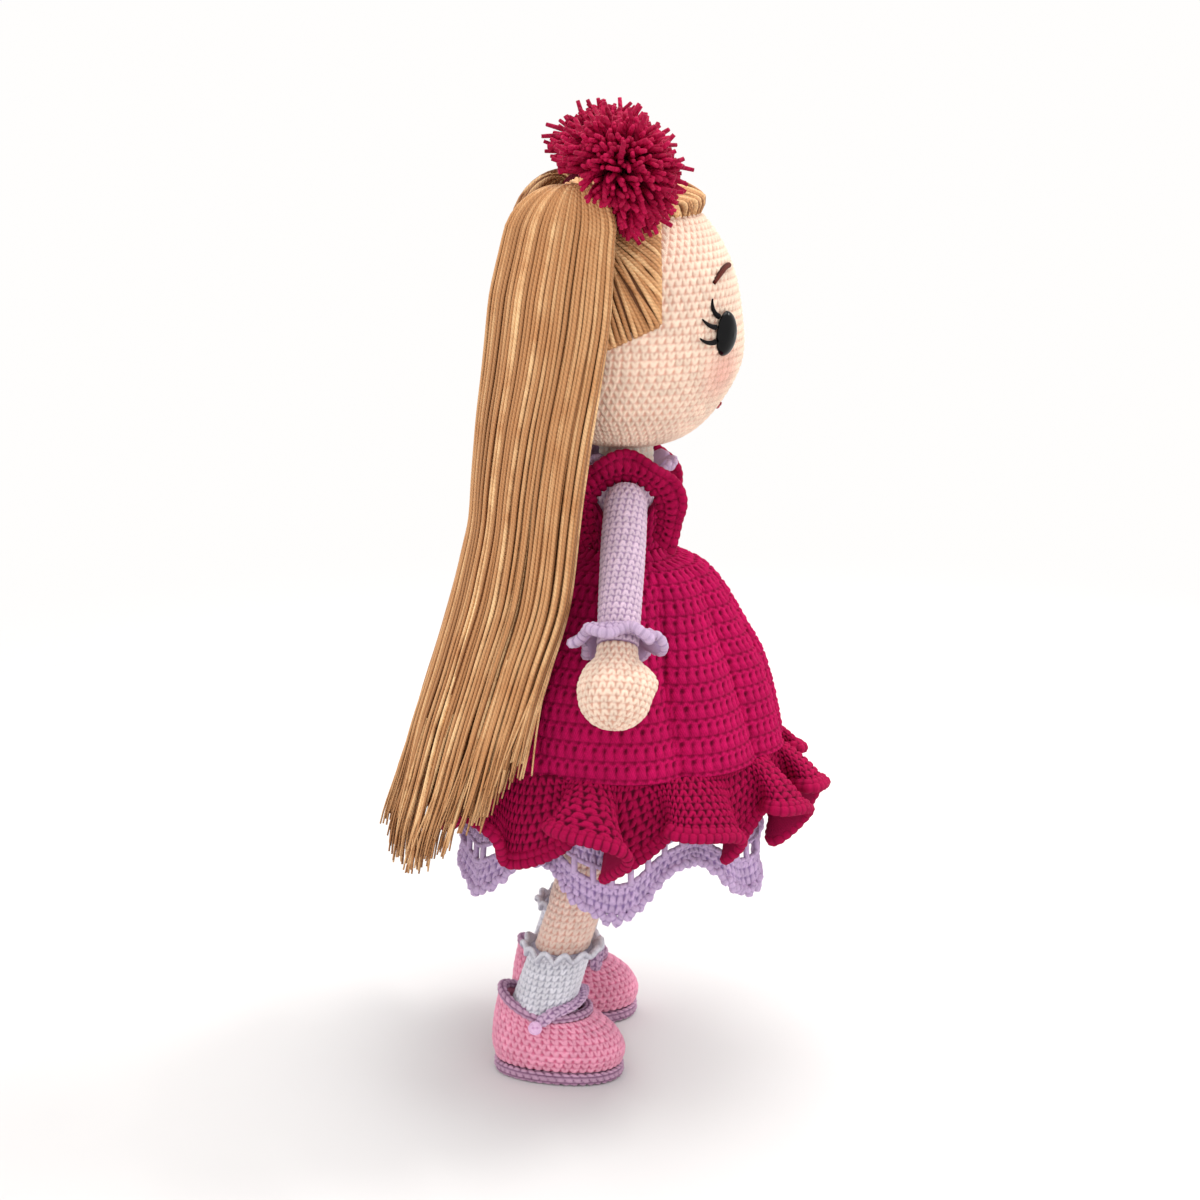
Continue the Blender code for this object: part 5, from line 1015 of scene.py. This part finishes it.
sleeveRead = tableReader(((0.0, -8.3, 1.2), (0.03, -8.0, 3.4), (0.09, -5.9, 6.1), (0.20, 0.5, 8.3), (0.45, 18.0, 8.6),
                          (0.75, 40.0, 8.3), (1.0, 59.0, 7.9)))
armTurn = {side: turnMatrix("x", math.radians(4)) @ turnMatrix("y", side * -math.radians(34.5)) for side in (-1, 1)}
handRead = tableReader(((0.0, 0.0, 7.6, 7.6), (0.14, 4.8, 7.9, 8.2), (0.30, 10.4, 9.7, 12.4), (0.50, 17.7, 10.9, 14.4),
                        (0.72, 24.8, 9.9, 13.2), (0.88, 30.0, 7.0, 9.6), (0.97, 32.7, 3.6, 5.0), (1.0, 33.4, 0.8, 1.0)))
for label, side in sides.items():
    shoulder = np.array([side * 0.0262, shoulderY, shoulderZ])

    def armPlace(x, y, down):
        return placed(vec(x, y, -down), armTurn[side], shoulder)

    def sleeveShape(u, v):
        turn = 2 * math.pi * v
        radius = sleeveRead(u, 2) * mm
        return armPlace(radius * np.sin(turn), -radius * np.cos(turn), sleeveRead(u, 1) * mm)

    def handShape(u, v):
        # a mitten: oval rings, with the thumb as a rounded swell on the front edge
        turn = 2 * math.pi * v
        down = handRead(u, 1) * mm
        thumb = 2.6 * mm * np.exp(-((down - 0.0131) / 0.0048) ** 2) * np.clip(np.cos(turn), 0, 1) ** 5
        x = handRead(u, 2) * mm * np.sin(turn)
        y = -(handRead(u, 3) * mm + thumb) * np.cos(turn)
        return armPlace(x, y, 0.0593 + down)
    sleeve = makePiece("sleeveCrochet_" + label, crochet(sleeveShape, stitch=2.9, row=2.55, depth=0.8), lilacYarn,
                       "arm_" + label, ["sleeve_" + label])
    hand = makePiece("handCrochet_" + label, crochet(handShape, stitch=3.0, row=2.8, depth=0.85), skinYarn,
                     "arm_" + label, ["hand_" + label])

    def cuffPlace(x, y, z):
        return armPlace(x, y, 0.0520 + z)
    cuffShape = ruffleBand(cuffPlace, 0.0088, 0.0056, 0.0072, 6, 0.0018, 0.0020, 0.6)
    cuff = crochet(cuffShape, stitch=2.7, row=2.4, depth=1.0, wall=2.4, perStitch=5, perRow=4)
    edge = stitchedCord(cuffShape(np.ones(561), np.linspace(0, 1, 561)), 2.2, 2.7)
    second = stitchedCord(cuffShape(np.full(561, 0.66), np.linspace(0, 1, 561)), 1.9, 2.7)
    makePiece("cuffRuffle_" + label, joined([cuff, second, edge]), frillYarn, "arm_" + label, ["cuff_frill_" + label])


# Dress

print("dress")
skirtRead = tableReader(((0.0, 0.255, 0.320), (0.036, 0.290, 0.345), (0.095, 0.455, 0.455), (0.190, 0.572, 0.545),
                         (0.393, 0.731, 0.690), (0.600, 0.878, 0.820), (0.810, 0.951, 0.920), (1.0, 1.0, 1.0)))


def skirtShape(u, v):
    # oval rings widened by the tables, with gathered folds |sin| that fade towards the waist
    turn = 2 * math.pi * v
    deep = skirtRead(u, 1) * 0.0715
    wide = skirtRead(u, 2) * 0.0620
    middle = mix(waistY, hemY, np.minimum(u * 1.6, 1.0))
    swayed = turn + 0.16 * np.sin(2 * turn + 0.6) + 0.07 * np.sin(5 * turn)
    fold = np.abs(np.sin(5.0 * swayed + 0.45 * np.sin(3.0 * u))) ** 0.70 - 0.66
    fade = np.sin(np.minimum(u, 0.75) / 0.75 * math.pi / 2) * (1 - 0.35 * u)
    push = 1 + 0.0072 * fold * fade / np.hypot(wide * np.sin(turn), deep * np.cos(turn))
    return vec(wide * np.sin(turn) * push, middle - deep * np.cos(turn) * push, waistZ + 0.0004 - 0.0840 * u)


skirt = crochet(skirtShape, stitch=3.9, row=7.0, depth=1.5, kind=stitchTall, perStitch=6, perRow=10, wall=2.2,
                shift=0.37, raised=0.62)
skirtPiece = makePiece("skirtCrochet", skirt, dressYarn, "torso", ["dress_skirt"])
declareSheet(skirtShape)


def bodiceShape(u, v):
    turn = 2 * math.pi * v
    z = mix(waistZ - 0.0004, waistZ + 0.0200, u)
    armhole = np.exp(-((np.abs(np.sin(turn)) - 1) / 0.22) ** 2)
    z = z - armhole * u * 0.0105
    return vec(0.0190 * np.sin(turn), waistY - 0.0003 - 0.0166 * np.cos(turn), z)


bodice = crochet(bodiceShape, stitch=3.4, row=3.6, depth=1.0, wall=2.0, perStitch=5, perRow=4)
bodicePiece = makePiece("bodiceCrochet", bodice, dressYarn, "torso", ["dress_bodice"])
declareSheet(bodiceShape)

for label, side in sides.items():
    middle = np.array([side * (0.0165 + 0.0006 + 0.0024), shoulderY, shoulderZ - 0.0060])

    def wingShape(u, v):
        # a band round the armhole: near + way * reach(u), standing off the shoulder, ribbed and rippled at its edge
        turn = math.radians(-128) + math.radians(256) * v
        taper = np.sin(math.pi * np.clip(v, 0.05, 0.95)) ** 0.4
        reach = 0.0112 * mix(0.55, 1.0, taper) * (1 + 0.10 * np.sin(5.2 * turn + 1.2) * u)
        ripple = np.sin(v * math.pi * 11 + 0.6) * 0.0015 * u ** 1.5
        near = (0.0118 + 0.0006) * (1 + 0.12 * np.abs(np.cos(turn)))
        radius = near + reach * u
        x = middle[0] + side * (0.0012 + 0.0045 * u ** 0.8 + ripple + 0.0016 * np.sin(math.pi * u))
        return vec(x, middle[1] + radius * np.sin(turn), middle[2] + radius * np.cos(turn))
    wing = crochet(wingShape, stitch=3.3, row=7.5, depth=1.4, wall=2.2, perStitch=6, perRow=12, wrapRound=False,
                   facing=(side, 0, 0), kind=stitchTall)
    rimPath = wingShape(np.ones(321), np.linspace(0, 1, 321)) - np.array([side * 0.0010, 0, 0])
    wingRim = stitchedCord(rimPath, 1.9, 3.2, hint=(side, 0, 0))
    ruffle = makePiece("shoulderRuffle_" + label, joined([wing, wingRim]), ruffleYarn, "torso",
                       ["shoulder_frill_" + label])
    declareSheet(wingShape)


def flounceShape(u, v):
    # a full ruffle: out = flare + swing (s cos p + 0.3), held off the lace by a smooth floor; the edge rises and
    # falls by 0.0105 cos(p + 0.95), the curl sin(2 p) turns each fold past itself, and it lies closer under the hair
    turn = 2 * math.pi * v
    phase = 11 * (turn + 0.10 * np.sin(2 * turn + 0.8) + 0.06 * np.sin(5 * turn + 2.0)) + 0.2
    strong = 1 + 0.20 * np.sin(3 * turn + 1.0) + 0.12 * np.sin(7 * turn)
    grown = u ** 0.85
    hair = np.clip((-np.cos(turn) - 0.22) / 0.28, 0, 1)
    out = (0.0080 * np.sin(u * math.pi / 2) + 0.0100 * grown * (strong * np.cos(phase) + 0.22)) * (1 - 0.48 * hair)
    over = out + 0.0010
    out = -0.0010 + 0.5 * (over + np.sqrt(over ** 2 + 0.0016 ** 2))
    turned = turn + 0.092 * grown * np.sin(2 * phase + 0.35) * strong
    halfX = 0.0620 - 0.0018 + out
    halfY = 0.0715 - 0.0018 + out
    z = skirtHemZ + 0.0016 - 0.0255 * u + 0.0105 * grown * strong * np.cos(phase + 0.95) + 0.0018 * np.sin(2 * phase) * u
    return vec(halfX * np.sin(turned), hemY - halfY * np.cos(turned), z)


flounce = crochet(flounceShape, stitch=3.1, row=3.1, depth=1.15, wall=2.0, perStitch=5, perRow=4)
edgeCord = stitchedCord(flounceShape(np.ones(3601), np.linspace(0, 1, 3601)), 2.5, 3.3, sidesCount=8)
innerCord = stitchedCord(flounceShape(np.full(3601, 0.90), np.linspace(0, 1, 3601)), 1.9, 3.3)
flouncePiece = makePiece("flounceRuffle", joined([flounce, edgeCord, innerCord]), ruffleYarn, "torso",
                         ["dress_flounce"])
declareSheet(flounceShape)

# The petticoat: solid rows above, a row of ladder holes, a solid band that follows the points, and picots
petticoatRead = tableReader(((0.03, 0.280, 0.332), (0.07, 0.420, 0.385), (0.14, 0.560, 0.480), (0.25, 0.710, 0.630),
                             (0.40, 0.830, 0.770), (0.64, 0.950, 0.920), (0.83, 0.985, 0.970), (1.0, 1.0, 1.0)))


def laceSpot(down, turn):
    # down runs to 1 at the hem; the hem falls by 10.5 mm cos(6 a) in points at the front, sides and back
    wave = np.clip((down - 0.62) / 0.38, 0, 1.2) ** 1.3
    point = -np.cos(6 * turn)
    deep = petticoatRead(down, 1) * 0.0640
    wide = petticoatRead(down, 2) * 0.0590
    middle = mix(waistY, hemY, np.minimum(down * 2.2, 1.0))
    ripple = 0.0016 * wave * np.cos(18 * turn + 1.0) + 0.0022 * wave * point
    push = 1 + ripple / np.hypot(wide * np.sin(turn), deep * np.cos(turn))
    z = waistZ - 0.1320 * down - 0.0105 * wave * point
    return vec(wide * np.sin(turn) * push, middle - deep * np.cos(turn) * push, z)


def laceBand(low, high):
    return lambda u, v: laceSpot(mix(low, high, u), 2 * math.pi * v)


laceShells = [crochet(laceBand(0.03, 0.790), stitch=4.4, row=4.6, depth=0.9, wall=1.4, perStitch=4, perRow=3),
              crochet(laceBand(0.812, 0.866), stitch=3.3, row=4.4, depth=1.2, wall=1.4, perStitch=6, perRow=8),
              crochet(laceBand(0.910, 0.982), stitch=3.3, row=3.2, depth=1.1, wall=1.4, perStitch=5, perRow=4)]
for low, high, count, thick in ((0.784, 0.818, 64, 1.60), (0.860, 0.916, 54, 1.30)):
    turn = (np.arange(count) + 0.5) / count * 2 * math.pi
    posts = laceSpot(np.linspace(low, high, 7)[None, :], turn[:, None])
    laceShells.append(strands(posts, thick * mm, 8, hint=unit(posts * np.array([1, 1, 0]))))
turn = np.linspace(0, 2 * math.pi, 92 * 14 + 1)
scallop = np.abs(np.sin(turn * 46)) * (1 + 0.35 * np.sin(turn * 23))
picotPath = laceSpot(0.981 + 0.019 * scallop, turn + 0.009 * np.sin(turn * 92))
laceShells.append(stitchedCord(picotPath, 1.7, 2.7))
for place in (0.867, 0.909):
    ringPath = laceSpot(np.full(1201, place), np.linspace(0, 2 * math.pi, 1201))
    laceShells.append(stitchedCord(ringPath, 1.15, 3.0))
petticoatPiece = makePiece("lacePetticoat", joined(laceShells), laceYarn, "torso", ["petticoat"])
declareSheet(laceBand(0.03, 1.0))


# Legs, socks and shoes

print("legs")
footBottom = 0.0055 + 0.0003 + 0.0012 + 0.0003
shoeLength, rimHeight, heelRise = 0.0535, 0.0275, 0.0080


def footLead(side):
    return 0.0065 if side > 0 else 0.0


def legAxis(side, z):
    share = (hipZ - z) / 0.1182
    return side * mix(0.0150, 0.0275, share), mix(hipY, 0.0300 - footLead(side), share)


def onFoot(points, side):
    return placed(points, turnMatrix("z", side * math.radians(8)),
                  (side * 0.0275, 0.0479 - shoeLength / 2 - footLead(side), 0.0))


legRead = tableReader(((0.0, 0.0558, 11.2), (0.35, 0.086, 11.2), (0.72, 0.118, 12.0), (0.88, 0.142, 12.5),
                       (0.95, 0.1505, 8.9), (1.0, 0.154, 2.0)))
sockRead = tableReader((
    # height, half width, half length, slide towards the heel, share that follows the leg
    (0.0, 0.0, 1.0, 3.0, 0.0, 0.0), (0.10, 0.0002, 8.7, 17.8, 0.0, 0.0), (0.18, 0.0040, 11.2, 22.0, 0.1, 0.0),
    (0.27, 0.0070, 11.8, 22.6, 1.0, 0.0), (0.37, 0.0105, 11.3, 20.4, 3.0, 0.0), (0.47, 0.0140, 11.4, 17.0, 5.2, 0.15),
    (0.56, 0.0190, 12.2, 14.4, 0.0, 0.75), (0.64, 0.0240, 12.7, 13.4, 0.0, 1.0), (0.80, 0.0360, 12.8, 12.9, 0.0, 1.0),
    (1.0, 0.0485, 12.6, 12.6, 0.0, 1.0)))


def soleOutline(turn, grow):
    forward = np.cos(turn)
    width = mix(0.0138, 0.0165, 0.5 + 0.5 * forward)
    return (width + grow) * np.sin(turn) * (1 + 0.06 * np.cos(2 * turn)), -(shoeLength / 2 + grow) * forward


def openingOval(turn, grow):
    middle = shoeLength / 2 - 0.039 / 2 - 0.0016
    return (0.0135 + grow) * np.sin(turn), middle - (0.039 / 2 + grow) * np.cos(turn)


upperRead = tableReader(((0.0, 0.0, 0.0, -0.2), (0.26, 0.28, 0.02, 1.0), (0.54, 0.58, 0.20, 0.9), (0.80, 0.84, 0.60, 0.5),
                         (1.0, 1.0, 1.0, 0.0)))
strapRead = tableReader((
    (0.00, -1.17, 0.31, -0.19), (0.06, -1.12, 0.33, -0.08), (0.13, -0.98, 0.35, 0.01), (0.21, -0.78, 0.37, 0.05),
    (0.34, -0.45, 0.39, 0.08), (0.50, 0.0, 0.40, 0.09), (0.67, 0.45, 0.37, 0.08), (0.80, 0.82, 0.27, 0.05),
    (0.89, 1.03, 0.15, 0.01), (0.95, 1.15, 0.06, -0.07), (1.0, 1.21, -0.04, -0.18)))

for label, side in sides.items():
    def legShape(u, v):
        z = legRead(u, 1)
        x, y = legAxis(side, z)
        radius = legRead(u, 2) * mm
        return vec(x + radius * np.sin(2 * math.pi * v), y - radius * np.cos(2 * math.pi * v), z)
    leg = makePiece("legCrochet_" + label, crochet(legShape, stitch=3.0, row=3.0, depth=0.85, perStitch=5), legYarn, "leg_" + label,
                    ["leg_" + label])

    def sockShape(u, v):
        # a foot bag that turns into the ankle's rings: place = mix(foot, leg axis, share)
        turn = 2 * math.pi * v
        z = footBottom + sockRead(u, 1)
        wide, deep = sockRead(u, 2) * mm, sockRead(u, 3) * mm
        local = vec(wide * np.sin(turn), -deep * np.cos(turn) + (sockRead(u, 4) + 0.5) * mm, z)
        foot = onFoot(local, side)
        x, y = legAxis(side, z)
        share = sockRead(u, 5)[..., None] if np.ndim(sockRead(u, 5)) else sockRead(u, 5)
        ankle = vec(x + wide * np.sin(turn), y - deep * np.cos(turn), z)
        return mix(foot, ankle, share)
    sock = makePiece("sockCrochet_" + label, crochet(sockShape, stitch=2.9, row=2.75, depth=0.9, perStitch=5), sockYarn,
                     "leg_" + label, ["sock_" + label])

    topX, topY = legAxis(side, sockTopZ)

    def sockEdge(x, y, z):
        return vec(topX + x, topY + y, sockTopZ - 0.0030 + z)
    edgeShape = ruffleBand(sockEdge, 0.0131, 0.0026, 0.0030, 12, 0.0006, 0.0016)
    frill = crochet(edgeShape, stitch=2.6, row=2.2, depth=0.8, wall=1.8, perStitch=5, perRow=4)
    turn = np.linspace(0, 1, 241)
    picot = edgeShape(np.ones(241), turn) + np.array([0, 0, 0.0013]) * np.abs(np.sin(turn * math.pi * 14))[:, None]
    frill = joined([frill, strands(picot[None], 1.25 * mm, 7, hint=(0, 0, 1))])
    makePiece("sockFrill_" + label, frill, sockYarn, "leg_" + label, ["sock_frill_" + label])

    def soleShape(u, v):
        # flat below, two braided rows round the side, flat on top
        turn = 2 * math.pi * v
        share = smoothRead([0, 0.30, 0.40, 0.50, 0.58, 0.66, 1.0], [0.03, 0.90, 1.0, 1.0, 1.0, 0.93, 0.05], u)
        height = smoothRead([0, 0.30, 0.40, 0.50, 0.58, 0.66, 1.0], [0.5, 0.5, 1.5, 2.9, 4.3, 5.3, 5.3], u) * mm
        waist = np.exp(-((height - 0.0029) / 0.0006) ** 2) * 0.0005
        x, y = soleOutline(turn, 0.0010)
        return onFoot(vec((x * share) * (1 - waist / 0.014), y * share * (1 - waist / 0.026), height), side)
    sole = crochet(soleShape, stitch=3.0, row=2.7, depth=1.0, kind=stitchBraid, perStitch=5, perRow=4, raised=0.6)
    makePiece("soleBraid_" + label, sole, soleYarn, "leg_" + label, ["shoe_sole_" + label])

    def upperShape(u, v):
        # the side bulges out from the sole and draws in to the opening's oval, higher at the heel
        turn = 2 * math.pi * v
        draw = upperRead(u, 2)
        x, y = soleOutline(turn, 0.0015 * upperRead(u, 3))
        ovalX, ovalY = openingOval(turn, 0.0)
        heel = np.maximum(-np.cos(turn), 0.0) ** 1.5
        z = mix(0.0058, rimHeight + heelRise * heel, upperRead(u, 1))
        return onFoot(vec(mix(x, ovalX, draw), mix(y, ovalY, draw), z), side)
    upper = crochet(upperShape, stitch=3.1, row=3.1, depth=0.95, wall=2.0, perStitch=6, perRow=5)
    makePiece("shoeCrochet_" + label, upper, shoeYarn, "leg_" + label, ["shoe_upper_" + label])

    def rimShape(u, v):
        turn = 2 * math.pi * v
        x, y = openingOval(turn, -0.0011)
        heel = np.maximum(-np.cos(turn), 0.0) ** 1.5
        z = rimHeight + heelRise * heel + 0.0016
        around = 2 * math.pi * u
        radius = 0.0018
        return onFoot(vec(x + radius * np.cos(around) * np.sin(turn), y - radius * np.cos(around) * np.cos(turn),
                          z + radius * np.sin(around)), side)
    rim = crochet(rimShape, stitch=3.0, row=2.6, depth=0.8, kind=stitchBraid, wrapRows=True, perStitch=6, perRow=4)
    makePiece("rimBraid_" + label, rim, soleYarn, "leg_" + label, ["shoe_rim_" + label])

    def strapRoute(u):
        middle = shoeLength / 2 - 0.039 / 2 - 0.0016
        x = side * 0.0135 * strapRead(u, 1)
        y = middle - 0.039 * strapRead(u, 2)
        z = rimHeight + 0.0032 + 0.0010 + 0.0006 + rimHeight * strapRead(u, 3)
        return onFoot(vec(x, y, z), side)

    def strapShape(u, v):
        # a flat band along its route: section 2.3 mm wide each way and 1.1 mm thick, closing at both ends
        route = strapRoute(u)
        ahead = unit(strapRoute(np.clip(u + 0.01, 0, 1)) - strapRoute(np.clip(u - 0.01, 0, 1)))
        hint = np.broadcast_to(np.array([0.0, -1.0, 0.0]), ahead.shape)
        wide = unit(hint - ahead * np.einsum("...k,...k->...", hint, ahead)[..., None])
        thin = np.cross(ahead, wide)
        turn = 2 * math.pi * v
        close = np.clip(np.minimum(u, 1 - u) / 0.03, 0.12, 1)[..., None] ** 0.5
        return (route + wide * (0.0024 * np.cos(turn))[..., None] * close
                + thin * (0.0011 * np.sin(turn))[..., None] * close)
    strap = crochet(strapShape, stitch=3.4, row=2.5, depth=0.7, perStitch=8, perRow=6)
    makePiece("strapCrochet_" + label, strap, strapYarn, "leg_" + label, ["shoe_strap_" + label])

    # the button: a dished disc with a rim and two pits
    end = strapRoute(np.array(1.0))
    away = unit(np.array([side, 0, 0.2]))
    low = end + away * (0.0010 + 0.0009)
    wide, tall = squareTo(away, np.array([0, 1.0, 0]))

    def buttonShape(u, v):
        turn = 2 * math.pi * v
        radius = smoothRead([0, 0.18, 0.26, 0.36, 0.44, 0.60, 1.0], [0.02, 0.80, 0.97, 1.0, 0.92, 0.70, 0.01], u) * 0.0029
        height = smoothRead([0, 0.18, 0.26, 0.36, 0.44, 0.60, 1.0], [0.0, 0.0, 0.30, 1.30, 1.60, 1.15, 1.10], u) * mm
        a, b = radius * np.cos(turn), radius * np.sin(turn)
        pit = sum(np.exp(-(((a - way * 0.0009) ** 2 + b ** 2) / 0.00042 ** 2)) for way in (-1, 1))
        height = height - 0.0009 * np.where(u > 0.5, pit, 0.0)
        return low + wide * a[..., None] + tall * b[..., None] + away * height[..., None]
    button = crochet(buttonShape, stitch=0.5, row=0.16, depth=0.0, perStitch=2, perRow=2)
    makePiece("buttonDisc_" + label, button, buttonPlastic, "leg_" + label, ["shoe_button_" + label])


# Inner pieces keep the frame's solids with their own materials

for name, surface in (("head_stuffing", stuffing), ("body_stuffing", stuffing), ("neck_dowel", wood),
                      ("shoulder_thread", threadYarn), ("arm_stuffing_right", stuffing), ("arm_stuffing_left", stuffing),
                      ("leg_stuffing_right", stuffing), ("leg_stuffing_left", stuffing), ("insole_right", board),
                      ("insole_left", board), ("eye_washer_right", washerPlastic), ("eye_washer_left", washerPlastic)):
    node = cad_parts[name]
    for place in range(len(node.material_slots)):
        node.material_slots[place].material = surface


# Floor, light and camera

print("stage")
floorMesh = bpy.data.meshes.new("floor")
floorMesh.from_pydata([(-3, -3, 0), (3, -3, 0), (3, 3, 0), (-3, 3, 0)], [], [(0, 1, 2, 3)])
floorMesh.update()
floor = bpy.data.objects.new("floor", floorMesh)
bpy.context.scene.collection.objects.link(floor)
floorSurface, floorTree, floorShader = freshMaterial("paleFloor")
floorShader.inputs["Roughness"].default_value = 0.9
floorPlace = floorTree.nodes.new("ShaderNodeTexCoord")
floorGrain = noise(floorTree, floorPlace.outputs["Object"], 9.0, 3.0, 0.5)
floorTree.links.new(mixed(floorTree, floorGrain, (0.665, 0.655, 0.65), (0.70, 0.69, 0.685)), floorShader.inputs["Base Color"])
floorLength = floorTree.nodes.new("ShaderNodeVectorMath")
floorLength.operation = "LENGTH"
floorTree.links.new(floorPlace.outputs["Object"], floorLength.inputs[0])
floorFade = floorTree.nodes.new("ShaderNodeMapRange")
floorFade.interpolation_type = "SMOOTHERSTEP"
for place, number in enumerate((0.30, 0.95, 1.0, 0.0)):
    floorFade.inputs[place + 1].default_value = number
floorTree.links.new(floorLength.outputs["Value"], floorFade.inputs[0])
floorTree.links.new(floorFade.outputs[0], floorShader.inputs["Alpha"])
floorMesh.materials.append(floorSurface)

world = bpy.data.worlds.new("studio")
bpy.context.scene.world = world
world.use_nodes = True
worldTree = world.node_tree
background = worldTree.nodes["Background"]
background.inputs["Color"].default_value = (1.0, 0.99, 0.985, 1)
background.inputs["Strength"].default_value = 1.2
whiteBack = worldTree.nodes.new("ShaderNodeBackground")
whiteBack.inputs["Color"].default_value = (1.0, 0.99, 0.98, 1)
whiteBack.inputs["Strength"].default_value = 1.0
rayKind = worldTree.nodes.new("ShaderNodeLightPath")
mixer = worldTree.nodes.new("ShaderNodeMixShader")
worldTree.links.new(rayKind.outputs["Is Camera Ray"], mixer.inputs[0])
worldTree.links.new(background.outputs[0], mixer.inputs[1])
worldTree.links.new(whiteBack.outputs[0], mixer.inputs[2])
worldTree.links.new(mixer.outputs[0], worldTree.nodes["World Output"].inputs["Surface"])


def areaLight(name, place, aim, size, power, colour=(1, 1, 1)):
    data = bpy.data.lights.new(name, "AREA")
    data.shape = "DISK"
    data.size = size
    data.energy = power
    data.color = colour
    lamp = bpy.data.objects.new(name, data)
    bpy.context.scene.collection.objects.link(lamp)
    lamp.location = place
    way = unit(np.array(aim, float) - np.array(place, float))
    lamp.rotation_euler = (math.acos(-way[2]), 0, math.atan2(way[0], -way[1]) if abs(way[2]) < 0.999 else 0)
    return lamp


areaLight("keyLight", (0.45, -1.15, 1.7), (0, 0, 0.2), 0.6, 46.0, (1.0, 0.985, 0.96))
areaLight("sideLight", (-1.7, -0.5, 1.3), (0, 0, 0.2), 1.6, 54.0, (1.0, 0.99, 0.98))
areaLight("topLight", (0.3, -0.2, 2.0), (0, 0, 0.1), 1.4, 16.0)
areaLight("lowLight", (-1.5, -0.5, 0.35), (0, 0, 0.08), 1.0, 27.0)

camera = bpy.data.objects.new("camera", bpy.data.cameras.new("camera"))
bpy.context.scene.collection.objects.link(camera)
camera.location = (-0.8742, 0.0037, 0.4336)
camera.rotation_euler = (math.radians(90 - 15), 0, math.radians(-90))
camera.data.sensor_width = 36
camera.data.lens = 36 * 2186 / 1200
bpy.context.scene.camera = camera
bpy.context.scene.view_settings.view_transform = "Standard"

for name, count in pieceCount:
    print("piece", name, count)
print("triangles", sum(count for name, count in pieceCount))
